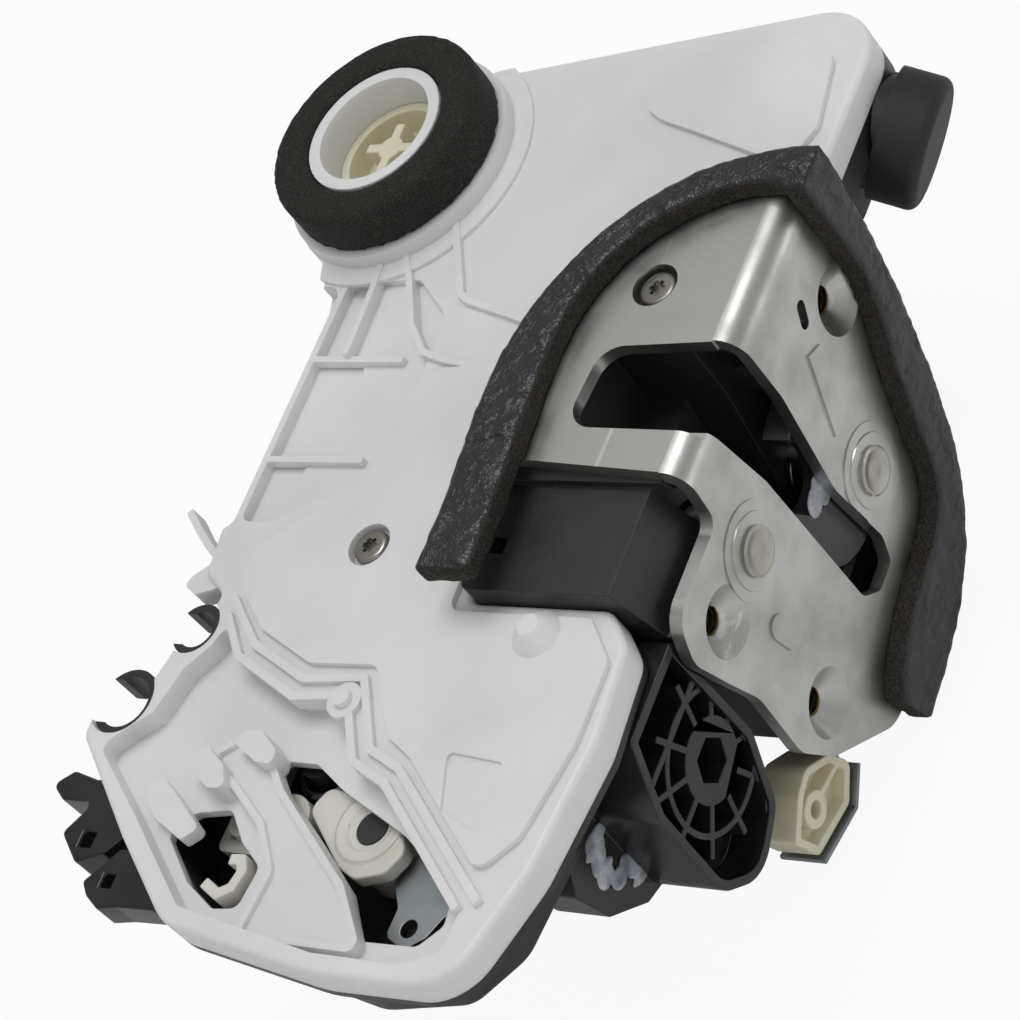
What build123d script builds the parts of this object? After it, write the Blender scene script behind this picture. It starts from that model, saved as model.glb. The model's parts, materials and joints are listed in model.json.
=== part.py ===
"""Door latch actuator of a car: claw latch, lock drive and release levers in one assembly.

Frame, in millimetres. The origin is the mouth of the lower front fixing thread.
+X is the way the fixing screws leave, out of the door's end face.
+Y runs along the bend of the steel plate, upwards in the car.
+Z is the outward normal of the white cover, towards the cabin.
"""
import os
from math import atan2, cos, degrees, pi, radians, sin

from build123d import *

os.makedirs("parts", exist_ok=True)

# Steel plate and its fixings
csk_depth = 3.5
face_x = csk_depth
plate_t = 2.5
plate_in = face_x - plate_t
flange_top = 24.0
flange_in = flange_top - plate_t
bend_r = 5.0
thread_r = 2.5
thread_len = 6.0
csk_r = 6.2
collar_r = 4.8
collar_root_r = 7.0
collar_root_len = 2.2
fix_low = (0.0, 0.0)
fix_deep = (4.5, -33.2)
fix_high = (61.3, 3.6)
fixings = [fix_low, fix_deep, fix_high]

# Claw and pawl
claw_at = (43.6, -21.5)
pawl_at = (13.4, 0.3)
pin_r = 3.5
pin_fit = 0.06
rivet_r = 4.4
rivet_h = 0.8
emboss_r = 6.8
emboss_h = 0.5
side_gap = 0.6
claw_t = 5.8
core_inset = 0.9
core_margin = 1.2
jacket_round = 0.4
claw_swing = 60.0
pawl_swing = 10.0
throat_half = 6.0
throat_mid = -2.3
throat_end = -13.6
hook_r = 21.0
tooth_r = 25.5
leg_r = 20.0
tooth_depth = 5.6
leg_depth = 3.7
leg_span = 21.0
hub_r = 11.5
lip_mid, lip_back = 155.0, 142.0
crown_turn, crown_rise = 105.0, 4.0
hub_turn = 60.0
nose_gap = 0.3
back_t = 2.0
pocket_depth = 9.0

# Latch case
case_back = -32.5
case_mid = -19.5
case_low_z = 4.0
case_wall = 2.0
channel_back = -17.0
channel_top_back = -25.0
channel_top_z = 6.0

# Actuator housing levels
rim_z = 10.0
top_z = 16.0
cover_wall = 2.0
skin = 2.0
plateau_h = 1.2
bay_floor = 9.5
bay_skin = 1.8
rim_t = 1.6
basin_inset = 6.0
basin_floor = -6.0
rear_wall = 2.0
upper_rim_t = 5.0
corner_r = 12.0

# Key spigot
key_at = (-92.6, 83.7)
spigot_r = 14.0
spigot_wall = 2.3
spigot_top = 28.2
ring_base_r = 23.5
ring_base_z = 19.8
ring_step = 3.5
ring_step_h = 0.8
foam_ring_r = 22.0
foam_ring_t = 8.9
soft_gap = 0.3
far = 300.0
key_swing = 45.0

# Foam gasket
foam_t = 4.5

# Lock drive
worm_teeth = 30
worm_pitch = 3.0
worm_core_r = 2.1
worm_pitch_r = 2.9
thread_h = 1.3
wheel_r = worm_teeth * worm_pitch / (2 * pi)
wheel_t = 4.0
wheel_at = (-66.0, 20.0)
drive_z = 6.0
motor_r = 8.0
motor_half = 6.6
motor_len = 22.0
shaft_r = 1.0
post_r = 3.0

# Outline of the cover and the rear housing, round from the top right corner
body_corners = [
    (-82.5, 105.0), (0.0, 116.8), (0.0, 74.5), (-12.0, 74.5), (-30.0, 61.0),
    (-36.0, 46.0), (-36.0, -8.0), (-7.0, -8.0), (-1.0, -14.5), (0.3, -32.0),
    (-2.5, -55.0), (-9.5, -76.0), (-36.5, -76.5), (-71.5, -71.5), (-89.0, -56.5),
    (-108.0, -38.5), (-108.0, -33.0), (-98.0, -27.0), (-95.0, -14.5), (-90.0, -9.5),
    (-97.0, -5.0), (-98.5, 8.0), (-98.5, 50.0), (-103.5, 66.0),
]
body_radii = [
    6.0, corner_r, 1.5, 4.0, 6.0,
    4.0, 2.0, 3.0, 6.0, 12.0,
    20.0, 11.0, 30.0, 14.0, 30.0,
    3.0, 1.5, 3.0, 2.0, 2.0,
    2.0, 3.0, 20.0, 6.0,
]

# Edge of the cover's inner panel beside the open bay
panel_edge = [
    (-86.5, -10.0), (-77.0, -19.0), (-63.0, -25.0), (-50.0, -24.0),
    (-42.5, -37.0), (-35.0, -40.0), (-9.0, -61.5),
]
bay_corners = [
    (-86.0, -13.5), (-79.5, -21.5), (-63.5, -28.5), (-52.0, -27.5),
    (-45.0, -39.5), (-36.5, -43.0), (-12.5, -63.0), (-13.0, -70.0),
    (-20.0, -73.0), (-38.0, -73.0), (-69.5, -68.0), (-86.5, -53.5),
    (-102.5, -40.5), (-100.0, -38.0), (-94.0, -33.0), (-91.5, -24.0),
    (-87.5, -19.0),
]


def body_outline():
    """Draw the common outline of the two housing halves in the current sketch."""
    with BuildLine() as edge:
        FilletPolyline(*body_corners, radius=body_radii, close=True)
    make_face(edge.edges())
    with Locations(key_at):
        Circle(ring_base_r)


def loop(points, radius, mode=Mode.ADD):
    """Draw a closed outline with rounded corners in the current sketch."""
    with BuildLine() as edge:
        FilletPolyline(*points, radius=radius, close=True)
    make_face(edge.edges(), mode=mode)


def strip(points, width):
    """Draw a rib of even width along a run of points in the current sketch."""
    with BuildLine() as run:
        Polyline(*points)
    trace(run.edges(), line_width=width)


def yz(x):
    """Plane parallel to the steel face, with Y to the right and Z up."""
    return Plane.YZ.offset(x)


def turned(x, at, angle):
    """Plane parallel to the steel face, centred on a pin and turned about it."""
    across = (0, cos(radians(angle)), sin(radians(angle)))
    return Plane(origin=(x, at[0], at[1]), x_dir=across, z_dir=(1, 0, 0))


# Steel latch plate
over = 10.0
face_outline = [
    (14.0, flange_top + over), (11.5, 12.0), (-7.0, 12.0), (-10.5, 4.0), (-8.0, -6.0),
    (-5.5, -15.0), (-6.5, -31.0), (-2.0, -40.0), (12.0, -53.5), (24.0, -54.5),
    (44.0, -48.5), (56.0, -36.0), (66.0, -8.0), (70.0, 12.0), (70.5, flange_top + over),
]
face_radii = [0.1, 3.0, 6.0, 6.0, 6.0, 8.0, 6.0, 6.0, 8.0, 10.0, 12.0, 14.0, 30.0, 20.0, 0.1]
bend_start = face_x - bend_r
flange_outline = [
    (bend_start, 13.0), (-32.0, 15.0), (-36.0, 18.0), (-36.0, 42.0), (-28.0, 57.0),
    (-13.0, 68.5), (bend_start, 70.3),
]
flange_radii = [0.1, 2.0, 3.0, 14.0, 12.0, 10.0, 0.1]
slot_face = [
    (20.5, flange_top + over), (24.6, 4.0), (24.8, -32.0), (28.5, -36.0), (34.5, -36.0),
    (36.5, -31.0), (34.8, -14.0), (38.5, 8.0), (38.8, flange_top + over),
]
slot_face_radii = [0.1, 8.0, 3.0, 2.0, 2.0, 3.0, 12.0, 14.0, 0.1]
slot_flange = [(face_x, 20.9), (-24.5, 21.5), (-23.0, 37.5), (face_x, 38.6)]
slot_flange_radii = [0.1, 5.0, 5.0, 0.1]
case_hole_at = (-17.6, 50.0)
case_hole_r = 4.3
ridge_run = [(50.0, 5.0), (46.6, -3.0), (43.8, -9.5)]
ridge_w = 4.0
ridge_h = 0.4
bean_at = (7.3, -15.0)
bean_l, bean_w = 9.0, 4.5
rivet_seat_r = 8.6
rivet_seat_h = 0.25
oval_at = (53.1, 10.8)
oval_l, oval_w = 5.2, 2.4

with BuildPart() as plate_reach:
    with BuildSketch(yz(bend_start)):
        loop(face_outline, face_radii)
    extrude(amount=bend_r)
    with BuildSketch(Plane.XY.offset(flange_in)):
        loop(flange_outline, flange_radii)
    extrude(amount=plate_t)

with BuildPart() as latch_plate:
    with BuildSketch(Plane.XZ.offset(-face_outline[-1][0] - over)):
        with BuildLine():
            bent = FilletPolyline((flange_outline[3][0], flange_top), (face_x, flange_top),
                                  (face_x, face_outline[9][1]), radius=bend_r)
            inside = FilletPolyline((flange_outline[3][0], flange_in), (plate_in, flange_in),
                                    (plate_in, face_outline[9][1]), radius=bend_r - plate_t)
            Line(bent @ 0, inside @ 0)
            Line(bent @ 1, inside @ 1)
        make_face()
    extrude(amount=face_outline[-1][0] + 3 * over)
    add(plate_reach.part, mode=Mode.INTERSECT)
    with BuildSketch(yz(face_x)):
        with Locations(claw_at, pawl_at):
            Circle(rivet_seat_r)
    extrude(amount=rivet_seat_h)
    with BuildSketch(yz(face_x)):
        strip(ridge_run, ridge_w)
        with Locations(Location(bean_at, 100)):
            SlotOverall(bean_l, bean_w)
    extrude(amount=ridge_h)
    with BuildSketch(yz(face_x)):
        with Locations(claw_at, pawl_at):
            Circle(emboss_r)
    extrude(amount=emboss_h, taper=20)
    for fix in fixings:
        with BuildSketch(Plane.XZ.offset(-fix[0])):
            with BuildLine():
                Polyline((plate_in, fix[1]), (plate_in, fix[1] + collar_root_r),
                         (plate_in - collar_root_len, fix[1] + collar_r),
                         (-thread_len, fix[1] + collar_r), (-thread_len, fix[1]), close=True)
            make_face()
        revolve(axis=Axis((0, fix[0], fix[1]), (1, 0, 0)))
    for fix in fixings:
        with BuildSketch(Plane.XZ.offset(-fix[0])):
            with BuildLine():
                Polyline((face_x, fix[1]), (face_x, fix[1] + csk_r), (0, fix[1] + thread_r),
                         (-thread_len, fix[1] + thread_r), (-thread_len, fix[1]), close=True)
            make_face()
        revolve(axis=Axis((0, fix[0], fix[1]), (1, 0, 0)), mode=Mode.SUBTRACT)
    with BuildSketch(yz(face_x + emboss_h)):
        loop(slot_face, slot_face_radii)
    extrude(amount=-bend_r - emboss_h, mode=Mode.SUBTRACT)
    with BuildSketch(Plane.XY.offset(flange_top)):
        loop(slot_flange, slot_flange_radii)
        with Locations(case_hole_at):
            Circle(case_hole_r)
    extrude(amount=-plate_t, mode=Mode.SUBTRACT)
    with BuildSketch(yz(face_x + emboss_h)):
        with Locations(claw_at, pawl_at):
            Circle(pin_r + pin_fit)
        with Locations(Location((oval_at[0], oval_at[1]), 60)):
            SlotOverall(oval_l, oval_w)
    extrude(amount=-plate_t - emboss_h, mode=Mode.SUBTRACT)
latch_plate.part.label = "latch_plate"
export_step(latch_plate.part, "parts/latch_plate.step")

# Claw: steel core inside a grey plastic jacket, drawn shut and turned open
claw_face = plate_in - side_gap
claw_open = turned(claw_face - claw_t, claw_at, -claw_swing)
throat_top = throat_mid + throat_half
throat_low = throat_mid - throat_half


def polar(radius, angle):
    """Point at a radius and an angle in degrees about the pin."""
    return (radius * cos(radians(angle)), radius * sin(radians(angle)))


def on_circle(radius, height):
    """Point on the left half of a circle about the pin, at a height above it."""
    return (-(radius ** 2 - height ** 2) ** 0.5, height)


def claw_shape(shrink):
    """Draw the claw in the current sketch, smaller all round by shrink."""
    lip = hook_r - shrink
    tooth = tooth_r - shrink
    leg = leg_r - shrink
    hub = hub_r - shrink
    up = throat_top + shrink
    down = throat_low - shrink
    lip_x = -(lip ** 2 - up ** 2) ** 0.5
    tooth_up = on_circle(tooth, down)
    tooth_mid = on_circle(tooth, (down + throat_low - tooth_depth + shrink) / 2)
    tooth_down = on_circle(tooth, throat_low - tooth_depth + shrink)
    leg_end = on_circle(leg, throat_low - leg_depth + shrink)
    leg_turn = degrees(atan2(leg_end[1], leg_end[0]))
    leg_start = polar(leg, leg_turn + leg_span)
    with BuildLine() as edge:
        Line((throat_end, up), (lip_x, up))
        ThreePointArc((lip_x, up), polar(lip, lip_mid), polar(lip, lip_back))
        Spline(polar(lip, lip_back), polar(hub + crown_rise, crown_turn), polar(hub, hub_turn))
        ThreePointArc(polar(hub, hub_turn), polar(hub, 0), polar(hub, -hub_turn))
        Spline(polar(hub, -hub_turn),
               polar((hub + leg) / 2, (leg_turn + leg_span - hub_turn) / 2), leg_start)
        ThreePointArc(leg_start, polar(leg, leg_turn + leg_span / 2), leg_end)
        Line(leg_end, tooth_down)
        ThreePointArc(tooth_down, tooth_mid, tooth_up)
        Line(tooth_up, (throat_end, down))
        ThreePointArc((throat_end, down), (throat_end + throat_half + shrink, throat_mid),
                      (throat_end, up))
    make_face(edge.edges())
    Circle(pin_r + pin_fit, mode=Mode.SUBTRACT)


with BuildPart() as claw_core:
    with BuildSketch(claw_open.offset(core_inset)):
        claw_shape(core_margin)
    extrude(amount=claw_t - 2 * core_inset)
claw_core.part.label = "claw_core"
export_step(claw_core.part, "parts/claw_core.step")

with BuildPart() as claw_jacket:
    with BuildSketch(claw_open):
        claw_shape(0)
    extrude(amount=claw_t)
    fillet(claw_jacket.faces().filter_by(Axis.X).edges(), jacket_round)
    add(claw_core.part, mode=Mode.SUBTRACT)
claw_jacket.part.label = "claw_jacket"
export_step(claw_jacket.part, "parts/claw_jacket.step")

# Pawl, drawn engaged about its own pin and turned clear of the claw
pawl_face = claw_face - core_inset / 2
pawl_thinner = 1.4
pawl_t = claw_t - pawl_thinner
pawl_clear = turned(pawl_face - pawl_t, pawl_at, -pawl_swing)
to_claw = (claw_at[0] - pawl_at[0], claw_at[1] - pawl_at[1])
nose_z = to_claw[1] + throat_low + nose_gap
nose_free = 1.3
nose_in = to_claw[0] - (hook_r + nose_free)
nose_w = 5.5
pawl_hub_r = 6.0
with BuildPart() as pawl:
    with BuildSketch(pawl_clear):
        Circle(pawl_hub_r)
        loop([(-5.5, 2.0), (5.5, 2.0), (nose_in - 1.0, nose_z + 10.0), (nose_in, nose_z),
              (nose_in - nose_w, nose_z), (nose_in - nose_w - 2.0, nose_z + 9.0)],
             [0.5, 0.5, 4.0, 0.4, 0.8, 4.0])
        Circle(pin_r + pin_fit, mode=Mode.SUBTRACT)
    extrude(amount=pawl_t)
pawl.part.label = "pawl"
export_step(pawl.part, "parts/pawl.step")

# Riveted pins, one for the claw and one for the pawl
pocket_floor = plate_in - pocket_depth
spring_depth = 5.0
rivet_edge = 0.3

with BuildPart() as claw_pin:
    with Locations((pocket_floor - spring_depth, claw_at[0], claw_at[1])):
        Cylinder(pin_r, face_x + emboss_h - pocket_floor + spring_depth, rotation=(0, 90, 0),
                 align=(Align.CENTER, Align.CENTER, Align.MIN))
    with Locations((face_x + emboss_h, claw_at[0], claw_at[1])):
        Cylinder(rivet_r, rivet_h, rotation=(0, 90, 0),
                 align=(Align.CENTER, Align.CENTER, Align.MIN))
    chamfer(claw_pin.faces().sort_by(Axis.X)[-1].edges(), rivet_edge)
claw_pin.part.label = "claw_pin"
export_step(claw_pin.part, "parts/claw_pin.step")

with BuildPart() as pawl_pin:
    with Locations((pocket_floor - spring_depth, pawl_at[0], pawl_at[1])):
        Cylinder(pin_r, face_x + emboss_h - pocket_floor + spring_depth, rotation=(0, 90, 0),
                 align=(Align.CENTER, Align.CENTER, Align.MIN))
    with Locations((face_x + emboss_h, pawl_at[0], pawl_at[1])):
        Cylinder(rivet_r, rivet_h, rotation=(0, 90, 0),
                 align=(Align.CENTER, Align.CENTER, Align.MIN))
    chamfer(pawl_pin.faces().sort_by(Axis.X)[-1].edges(), rivet_edge)
pawl_pin.part.label = "pawl_pin"
export_step(pawl_pin.part, "parts/pawl_pin.step")

# Steel back plate that carries the far ends of both pins
back_outline = [
    (7.0, 7.0), (20.0, 7.0), (20.5, -39.0), (40.5, -39.0), (40.5, -12.0), (50.5, -12.0),
    (53.0, -26.0), (46.0, -38.0), (38.0, -43.0), (14.0, -43.5), (11.0, -30.0), (7.0, -8.0),
]
back_radii = [5.0, 5.0, 1.5, 1.5, 3.0, 6.0, 6.0, 6.0, 3.0, 3.0, 6.0, 5.0]
with BuildPart() as back_plate:
    with BuildSketch(yz(pocket_floor)):
        loop(back_outline, back_radii)
        with Locations(claw_at, pawl_at):
            Circle(pin_r + pin_fit, mode=Mode.SUBTRACT)
    extrude(amount=back_t)
back_plate.part.label = "back_plate"
export_step(back_plate.part, "parts/back_plate.step")

# Black plastic case behind the steel face, with the claw pocket and the striker channel
case_outline = [
    (-8.0, flange_in), (-8.0, 2.0), (-5.5, -14.0), (-4.0, -31.0), (0.5, -39.5),
    (13.0, -51.5), (24.0, -52.5), (43.0, -46.5), (54.0, -35.0), (64.0, -8.0),
    (68.0, 12.0), (68.5, flange_in),
]
case_radii = [0.5, 4.0, 8.0, 4.0, 6.0, 6.0, 8.0, 10.0, 12.0, 20.0, 12.0, 0.5]
case_reach = [
    (plate_in, -8.0), (-35.7, -8.0), (-35.7, 45.8), (-29.7, 60.6), (-14.0, 68.5),
    (plate_in, 68.5),
]
case_reach_radii = [0.5, 2.0, 4.0, 6.0, 4.0, 0.5]
case_step_y = 12.5
case_step_z = 20.0
channel_gap = 0.8
slope_low = (plate_in - 1.5, 8.0)
slope_high = (plate_in - 7.0, flange_in + 1.0)
slope_wall = 2.2
slope_y = -6.0
snap_at = (-31.2, 0.7)
snap_w = 3.2
snap_z = 13.8
snap_t = 2.2
snap_reach = 10.0
bend_room = 1.5
spring_room_r = 8.5
screw_hole_r = 1.6
screw_hole_l = 12.0
with BuildPart() as latch_case:
    with BuildSketch(yz(case_mid)):
        loop(case_outline, case_radii)
    extrude(amount=plate_in - case_mid)
    with BuildSketch(Plane.XY.offset(case_low_z)):
        loop(case_reach, case_reach_radii)
    extrude(amount=flange_in - case_low_z)
    with BuildSketch(Plane.XY.offset(case_step_z)):
        with Locations((case_back, case_step_y)):
            Rectangle(far, far, align=(Align.CENTER, Align.MAX))
    extrude(amount=far, mode=Mode.SUBTRACT)
    with BuildSketch(Plane.XZ.offset(-case_step_y)):
        with BuildLine():
            Polyline((plate_in + 1, slope_high[1]), (plate_in + 1, slope_low[1]), slope_low,
                     slope_high, close=True)
        make_face()
    extrude(amount=far, mode=Mode.SUBTRACT)
    with BuildSketch(Plane.XZ.offset(-far / 2)):
        with BuildLine():
            Polyline((plate_in, flange_in), (plate_in, flange_in - bend_r + bend_room),
                     (plate_in - bend_r + bend_room, flange_in), close=True)
        make_face()
    extrude(amount=far, mode=Mode.SUBTRACT)
    with BuildSketch(yz(plate_in)):
        loop(case_outline, case_radii)
        offset(amount=-case_wall, mode=Mode.REPLACE)
    extrude(amount=-pocket_depth, mode=Mode.SUBTRACT)
    with BuildSketch(yz(plate_in)):
        loop(slot_face, slot_face_radii)
        offset(amount=channel_gap, mode=Mode.REPLACE)
    extrude(amount=channel_back - plate_in, mode=Mode.SUBTRACT)
    with BuildSketch(yz(plate_in)):
        loop(slot_face, slot_face_radii)
        offset(amount=channel_gap, mode=Mode.REPLACE)
        with Locations((0, channel_top_z)):
            Rectangle(far, far, align=(Align.CENTER, Align.MIN), mode=Mode.INTERSECT)
    extrude(amount=channel_top_back - plate_in, mode=Mode.SUBTRACT)
    with BuildSketch(Plane.XZ.offset(-case_step_y)):
        with BuildLine():
            Polyline(slope_low, slope_high, (slope_high[0] - slope_wall, slope_high[1]),
                     (slope_low[0] - slope_wall, slope_low[1]),
                     (slope_low[0] - slope_wall, slope_low[1] - 1),
                     (slope_low[0], slope_low[1] - 1), close=True)
        make_face()
        with Locations((0, case_step_z)):
            Rectangle(far, far, align=(Align.CENTER, Align.MAX), mode=Mode.INTERSECT)
    extrude(amount=case_step_y - slope_y)
    with BuildSketch(Plane.XY.offset(snap_z - soft_gap)):
        with Locations(snap_at):
            Rectangle(snap_reach, snap_w + 2 * soft_gap)
    extrude(amount=snap_t + 2 * soft_gap, mode=Mode.SUBTRACT)
    with BuildSketch(Plane.XY.offset(case_step_z)):
        with Locations(snap_at):
            Rectangle(snap_w, snap_w)
    extrude(amount=snap_z - case_step_z, mode=Mode.SUBTRACT)
    for fix in fixings:
        with BuildSketch(yz(plate_in)):
            with Locations(fix):
                Circle(collar_root_r + soft_gap)
        extrude(amount=-collar_root_len - soft_gap, mode=Mode.SUBTRACT)
        with BuildSketch(yz(plate_in)):
            with Locations(fix):
                Circle(collar_r + soft_gap)
        extrude(amount=-thread_len - plate_in - soft_gap, mode=Mode.SUBTRACT)
    with BuildSketch(yz(pocket_floor)):
        with Locations(claw_at, pawl_at):
            Circle(spring_room_r)
    extrude(amount=-spring_depth, mode=Mode.SUBTRACT)
    with BuildSketch(Plane.XY.offset(flange_in)):
        with Locations(case_hole_at):
            Circle(screw_hole_r)
    extrude(amount=-screw_hole_l, mode=Mode.SUBTRACT)
latch_case.part.label = "latch_case"
export_step(latch_case.part, "parts/latch_case.step")

# Coil springs in the recesses behind the back plate
wire_r = 0.6
coil_r = 5.6
coil_pitch = 1.4
coil_turns = 2.5
coil_lift = 0.9


def coil_spring(start, radius, pitch, turns, wire, upright):
    """Sweep a round wire along a helix; upright coils stand on Z, the others lie on X."""
    line = Helix(pitch=pitch, height=pitch * turns, radius=radius, center=(0, 0, 0),
                 direction=(0, 0, 1) if upright else (1, 0, 0))
    line = line.moved(Location(start))
    section = Plane(origin=line @ 0, z_dir=line % 0)
    return sweep(section * Circle(wire), path=line, is_frenet=True)


claw_spring_coil = coil_spring((pocket_floor - spring_depth + coil_lift, *claw_at), coil_r,
                               coil_pitch, coil_turns, wire_r, False)
with BuildPart() as claw_spring:
    add(claw_spring_coil)
claw_spring.part.label = "claw_spring"
export_step(claw_spring.part, "parts/claw_spring.step")

pawl_spring_coil = coil_spring((pocket_floor - spring_depth + coil_lift, *pawl_at), coil_r,
                               coil_pitch, coil_turns, wire_r, False)
with BuildPart() as pawl_spring:
    add(pawl_spring_coil)
pawl_spring.part.label = "pawl_spring"
export_step(pawl_spring.part, "parts/pawl_spring.step")

# Rubber stop for the striker at the closed end of the channel
bumper_z = -36.0 - channel_gap
bumper_y, bumper_w, bumper_h, bumper_l = 29.8, 3.0, 3.6, 6.0
bumper_back = 0.5
with BuildPart() as striker_bumper:
    with BuildSketch(yz(pocket_floor - bumper_l - bumper_back)):
        loop([(bumper_y, bumper_z), (bumper_y + bumper_w, bumper_z),
              (bumper_y + bumper_w, bumper_z + bumper_h), (bumper_y, bumper_z + bumper_h)],
             [0.2, 0.2, 1.2, 1.2])
    extrude(amount=bumper_l)
striker_bumper.part.label = "striker_bumper"
export_step(striker_bumper.part, "parts/striker_bumper.step")

# Switches that read the claw and the pawl
switch_l, switch_w, switch_t = 9.0, 6.0, 5.6
claw_switch_at = (48.0, 6.0)
pawl_switch_at = (2.6, -16.0)
switch_round, switch_key_r = 0.5, 1.1


def switch_body():
    """Draw one switch with its rounded key in the current sketch."""
    RectangleRounded(switch_l, switch_w, switch_round)
    with Locations((-switch_l / 4, -switch_w / 2)):
        Circle(switch_key_r)


with BuildPart() as claw_switch:
    with BuildSketch(turned(pocket_floor, claw_switch_at, 0)):
        switch_body()
    extrude(amount=switch_t)
claw_switch.part.label = "claw_switch"
export_step(claw_switch.part, "parts/claw_switch.step")

with BuildPart() as pawl_switch:
    with BuildSketch(turned(pocket_floor, pawl_switch_at, 0)):
        switch_body()
    extrude(amount=switch_t)
pawl_switch.part.label = "pawl_switch"
export_step(pawl_switch.part, "parts/pawl_switch.step")

# Screw that holds the flange to the case, seen down the flange hole
screw_head_r = 3.52
screw_head_h = 1.8
head_round = 0.8
recess_r, recess_depth = 1.4, 1.2
screw_shaft_r = 1.5
case_screw_l = 10.0
with BuildPart() as case_screw:
    with BuildSketch(Plane.XY.offset(flange_in)):
        with Locations(case_hole_at):
            Circle(screw_head_r)
    extrude(amount=screw_head_h)
    fillet(case_screw.faces().sort_by(Axis.Z)[-1].edges(), head_round)
    with BuildSketch(Plane.XY.offset(flange_in + screw_head_h)):
        with Locations(case_hole_at):
            RegularPolygon(recess_r, 6)
    extrude(amount=-recess_depth, mode=Mode.SUBTRACT)
    with BuildSketch(Plane.XY.offset(flange_in)):
        with Locations(case_hole_at):
            Circle(screw_shaft_r)
    extrude(amount=-case_screw_l)
case_screw.part.label = "case_screw"
export_step(case_screw.part, "parts/case_screw.step")

# Foam gasket that wraps the steel from the flange round the face
gasket_face_out = [
    (75.0, flange_top + foam_t), (73.3, 11.4), (69.8, -5.4), (63.4, -25.9), (55.5, -41.0),
    (46.0, -49.5), (34.0, -54.5), (15.5, -56.8),
]
gasket_face_in = [
    (13.5, -48.0), (17.0, -45.2), (27.0, -41.5), (38.0, -40.0), (47.5, -37.5),
    (54.0, -25.5), (59.5, -11.0), (65.3, 3.0), (66.3, 14.0), (66.0, flange_top + foam_t),
]
gasket_flange_out = [
    (face_x + foam_t, 75.0), (-8.0, 73.0), (-22.0, 66.0), (-34.0, 52.0), (-40.0, 34.0),
    (-39.6, 12.0), (-38.9, -9.5),
]
gasket_flange_in = [
    (-28.0, -9.0), (-28.8, 8.0), (-30.0, 26.0), (-29.5, 44.0), (-22.0, 58.0),
    (-11.0, 65.5), (face_x + foam_t, 66.3),
]


def band(outer, inner):
    """Draw a band between two smooth edges, with straight cut ends, in the current sketch."""
    with BuildLine() as edge:
        far = Spline(*outer)
        near = Spline(*inner)
        Line(far @ 1, near @ 0)
        Line(near @ 1, far @ 0)
    make_face(edge.edges())


with BuildPart() as foam_gasket:
    with BuildSketch(yz(face_x)):
        band(gasket_face_out, gasket_face_in)
    extrude(amount=foam_t)
    with BuildSketch(Plane.XY.offset(flange_top)):
        band(gasket_flange_out, gasket_flange_in)
    extrude(amount=foam_t)
    with BuildSketch(Plane.XZ.offset(-far / 2)):
        with BuildLine():
            arc = FilletPolyline((face_x - 2 * bend_r, flange_top), (face_x, flange_top),
                                 (face_x, flange_top - 2 * bend_r), radius=bend_r)
            Polyline(arc @ 1, (0, -far), (-far, 0), arc @ 0)
        make_face()
    extrude(amount=far, mode=Mode.SUBTRACT)
foam_gasket.part.label = "foam_gasket"
export_step(foam_gasket.part, "parts/foam_gasket.step")

# Lever pivots and slide line inside the actuator housing
lock_pivot = (-62.5, -47.0)
inside_pivot = (-43.0, -47.0)
link_pivot = (-24.5, -51.5)
spring_post = (-60.0, -34.9)
floor_z = basin_floor + skin
pivot_r = 3.0
pivot_top = 8.6
worm_at_x = wheel_at[0] + wheel_r + worm_pitch_r
motor_y = 34.0
rack_pinion_r = 6.0
lever_arm = 12.0
slide_x = lock_pivot[0] - lever_arm

# Black rear housing: rim, basin for the levers and drive, shallow head, cable saddles
basin_corners = [
    (-94.5, 60.0), (-38.5, 60.0), (-38.5, -10.5), (-27.0, -10.5), (-27.0, -35.0),
    (-11.0, -36.0), (-13.5, -60.0), (-20.5, -69.5), (-37.0, -72.5), (-70.0, -67.0),
    (-84.5, -55.0), (-91.0, -43.0), (-87.0, -14.0), (-94.5, 2.0),
]
basin_radii = [4.0, 4.0, 2.0, 2.0, 2.0, 6.0, 8.0, 6.0, 10.0, 12.0, 10.0, 8.0, 8.0, 6.0]
head_y = 60.0
screw_at = (-61.3, 1.5)
notch_a, notch_a_r = (-93.6, -15.8), 3.6
notch_b, notch_b_r = (-102.5, -31.0), 5.0
notch_wall = 1.5
saddle_top = 15.0
bearing_y = 6.5
screw_post_top = 12.0
screw_post_r = 3.2
spring_post_r = 4.2
bearing_l, bearing_t = 8.0, 3.0
key_post_r, key_post_h = 4.0, 8.0
basin_round = 1.5
saddle_open = 9.0
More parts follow.
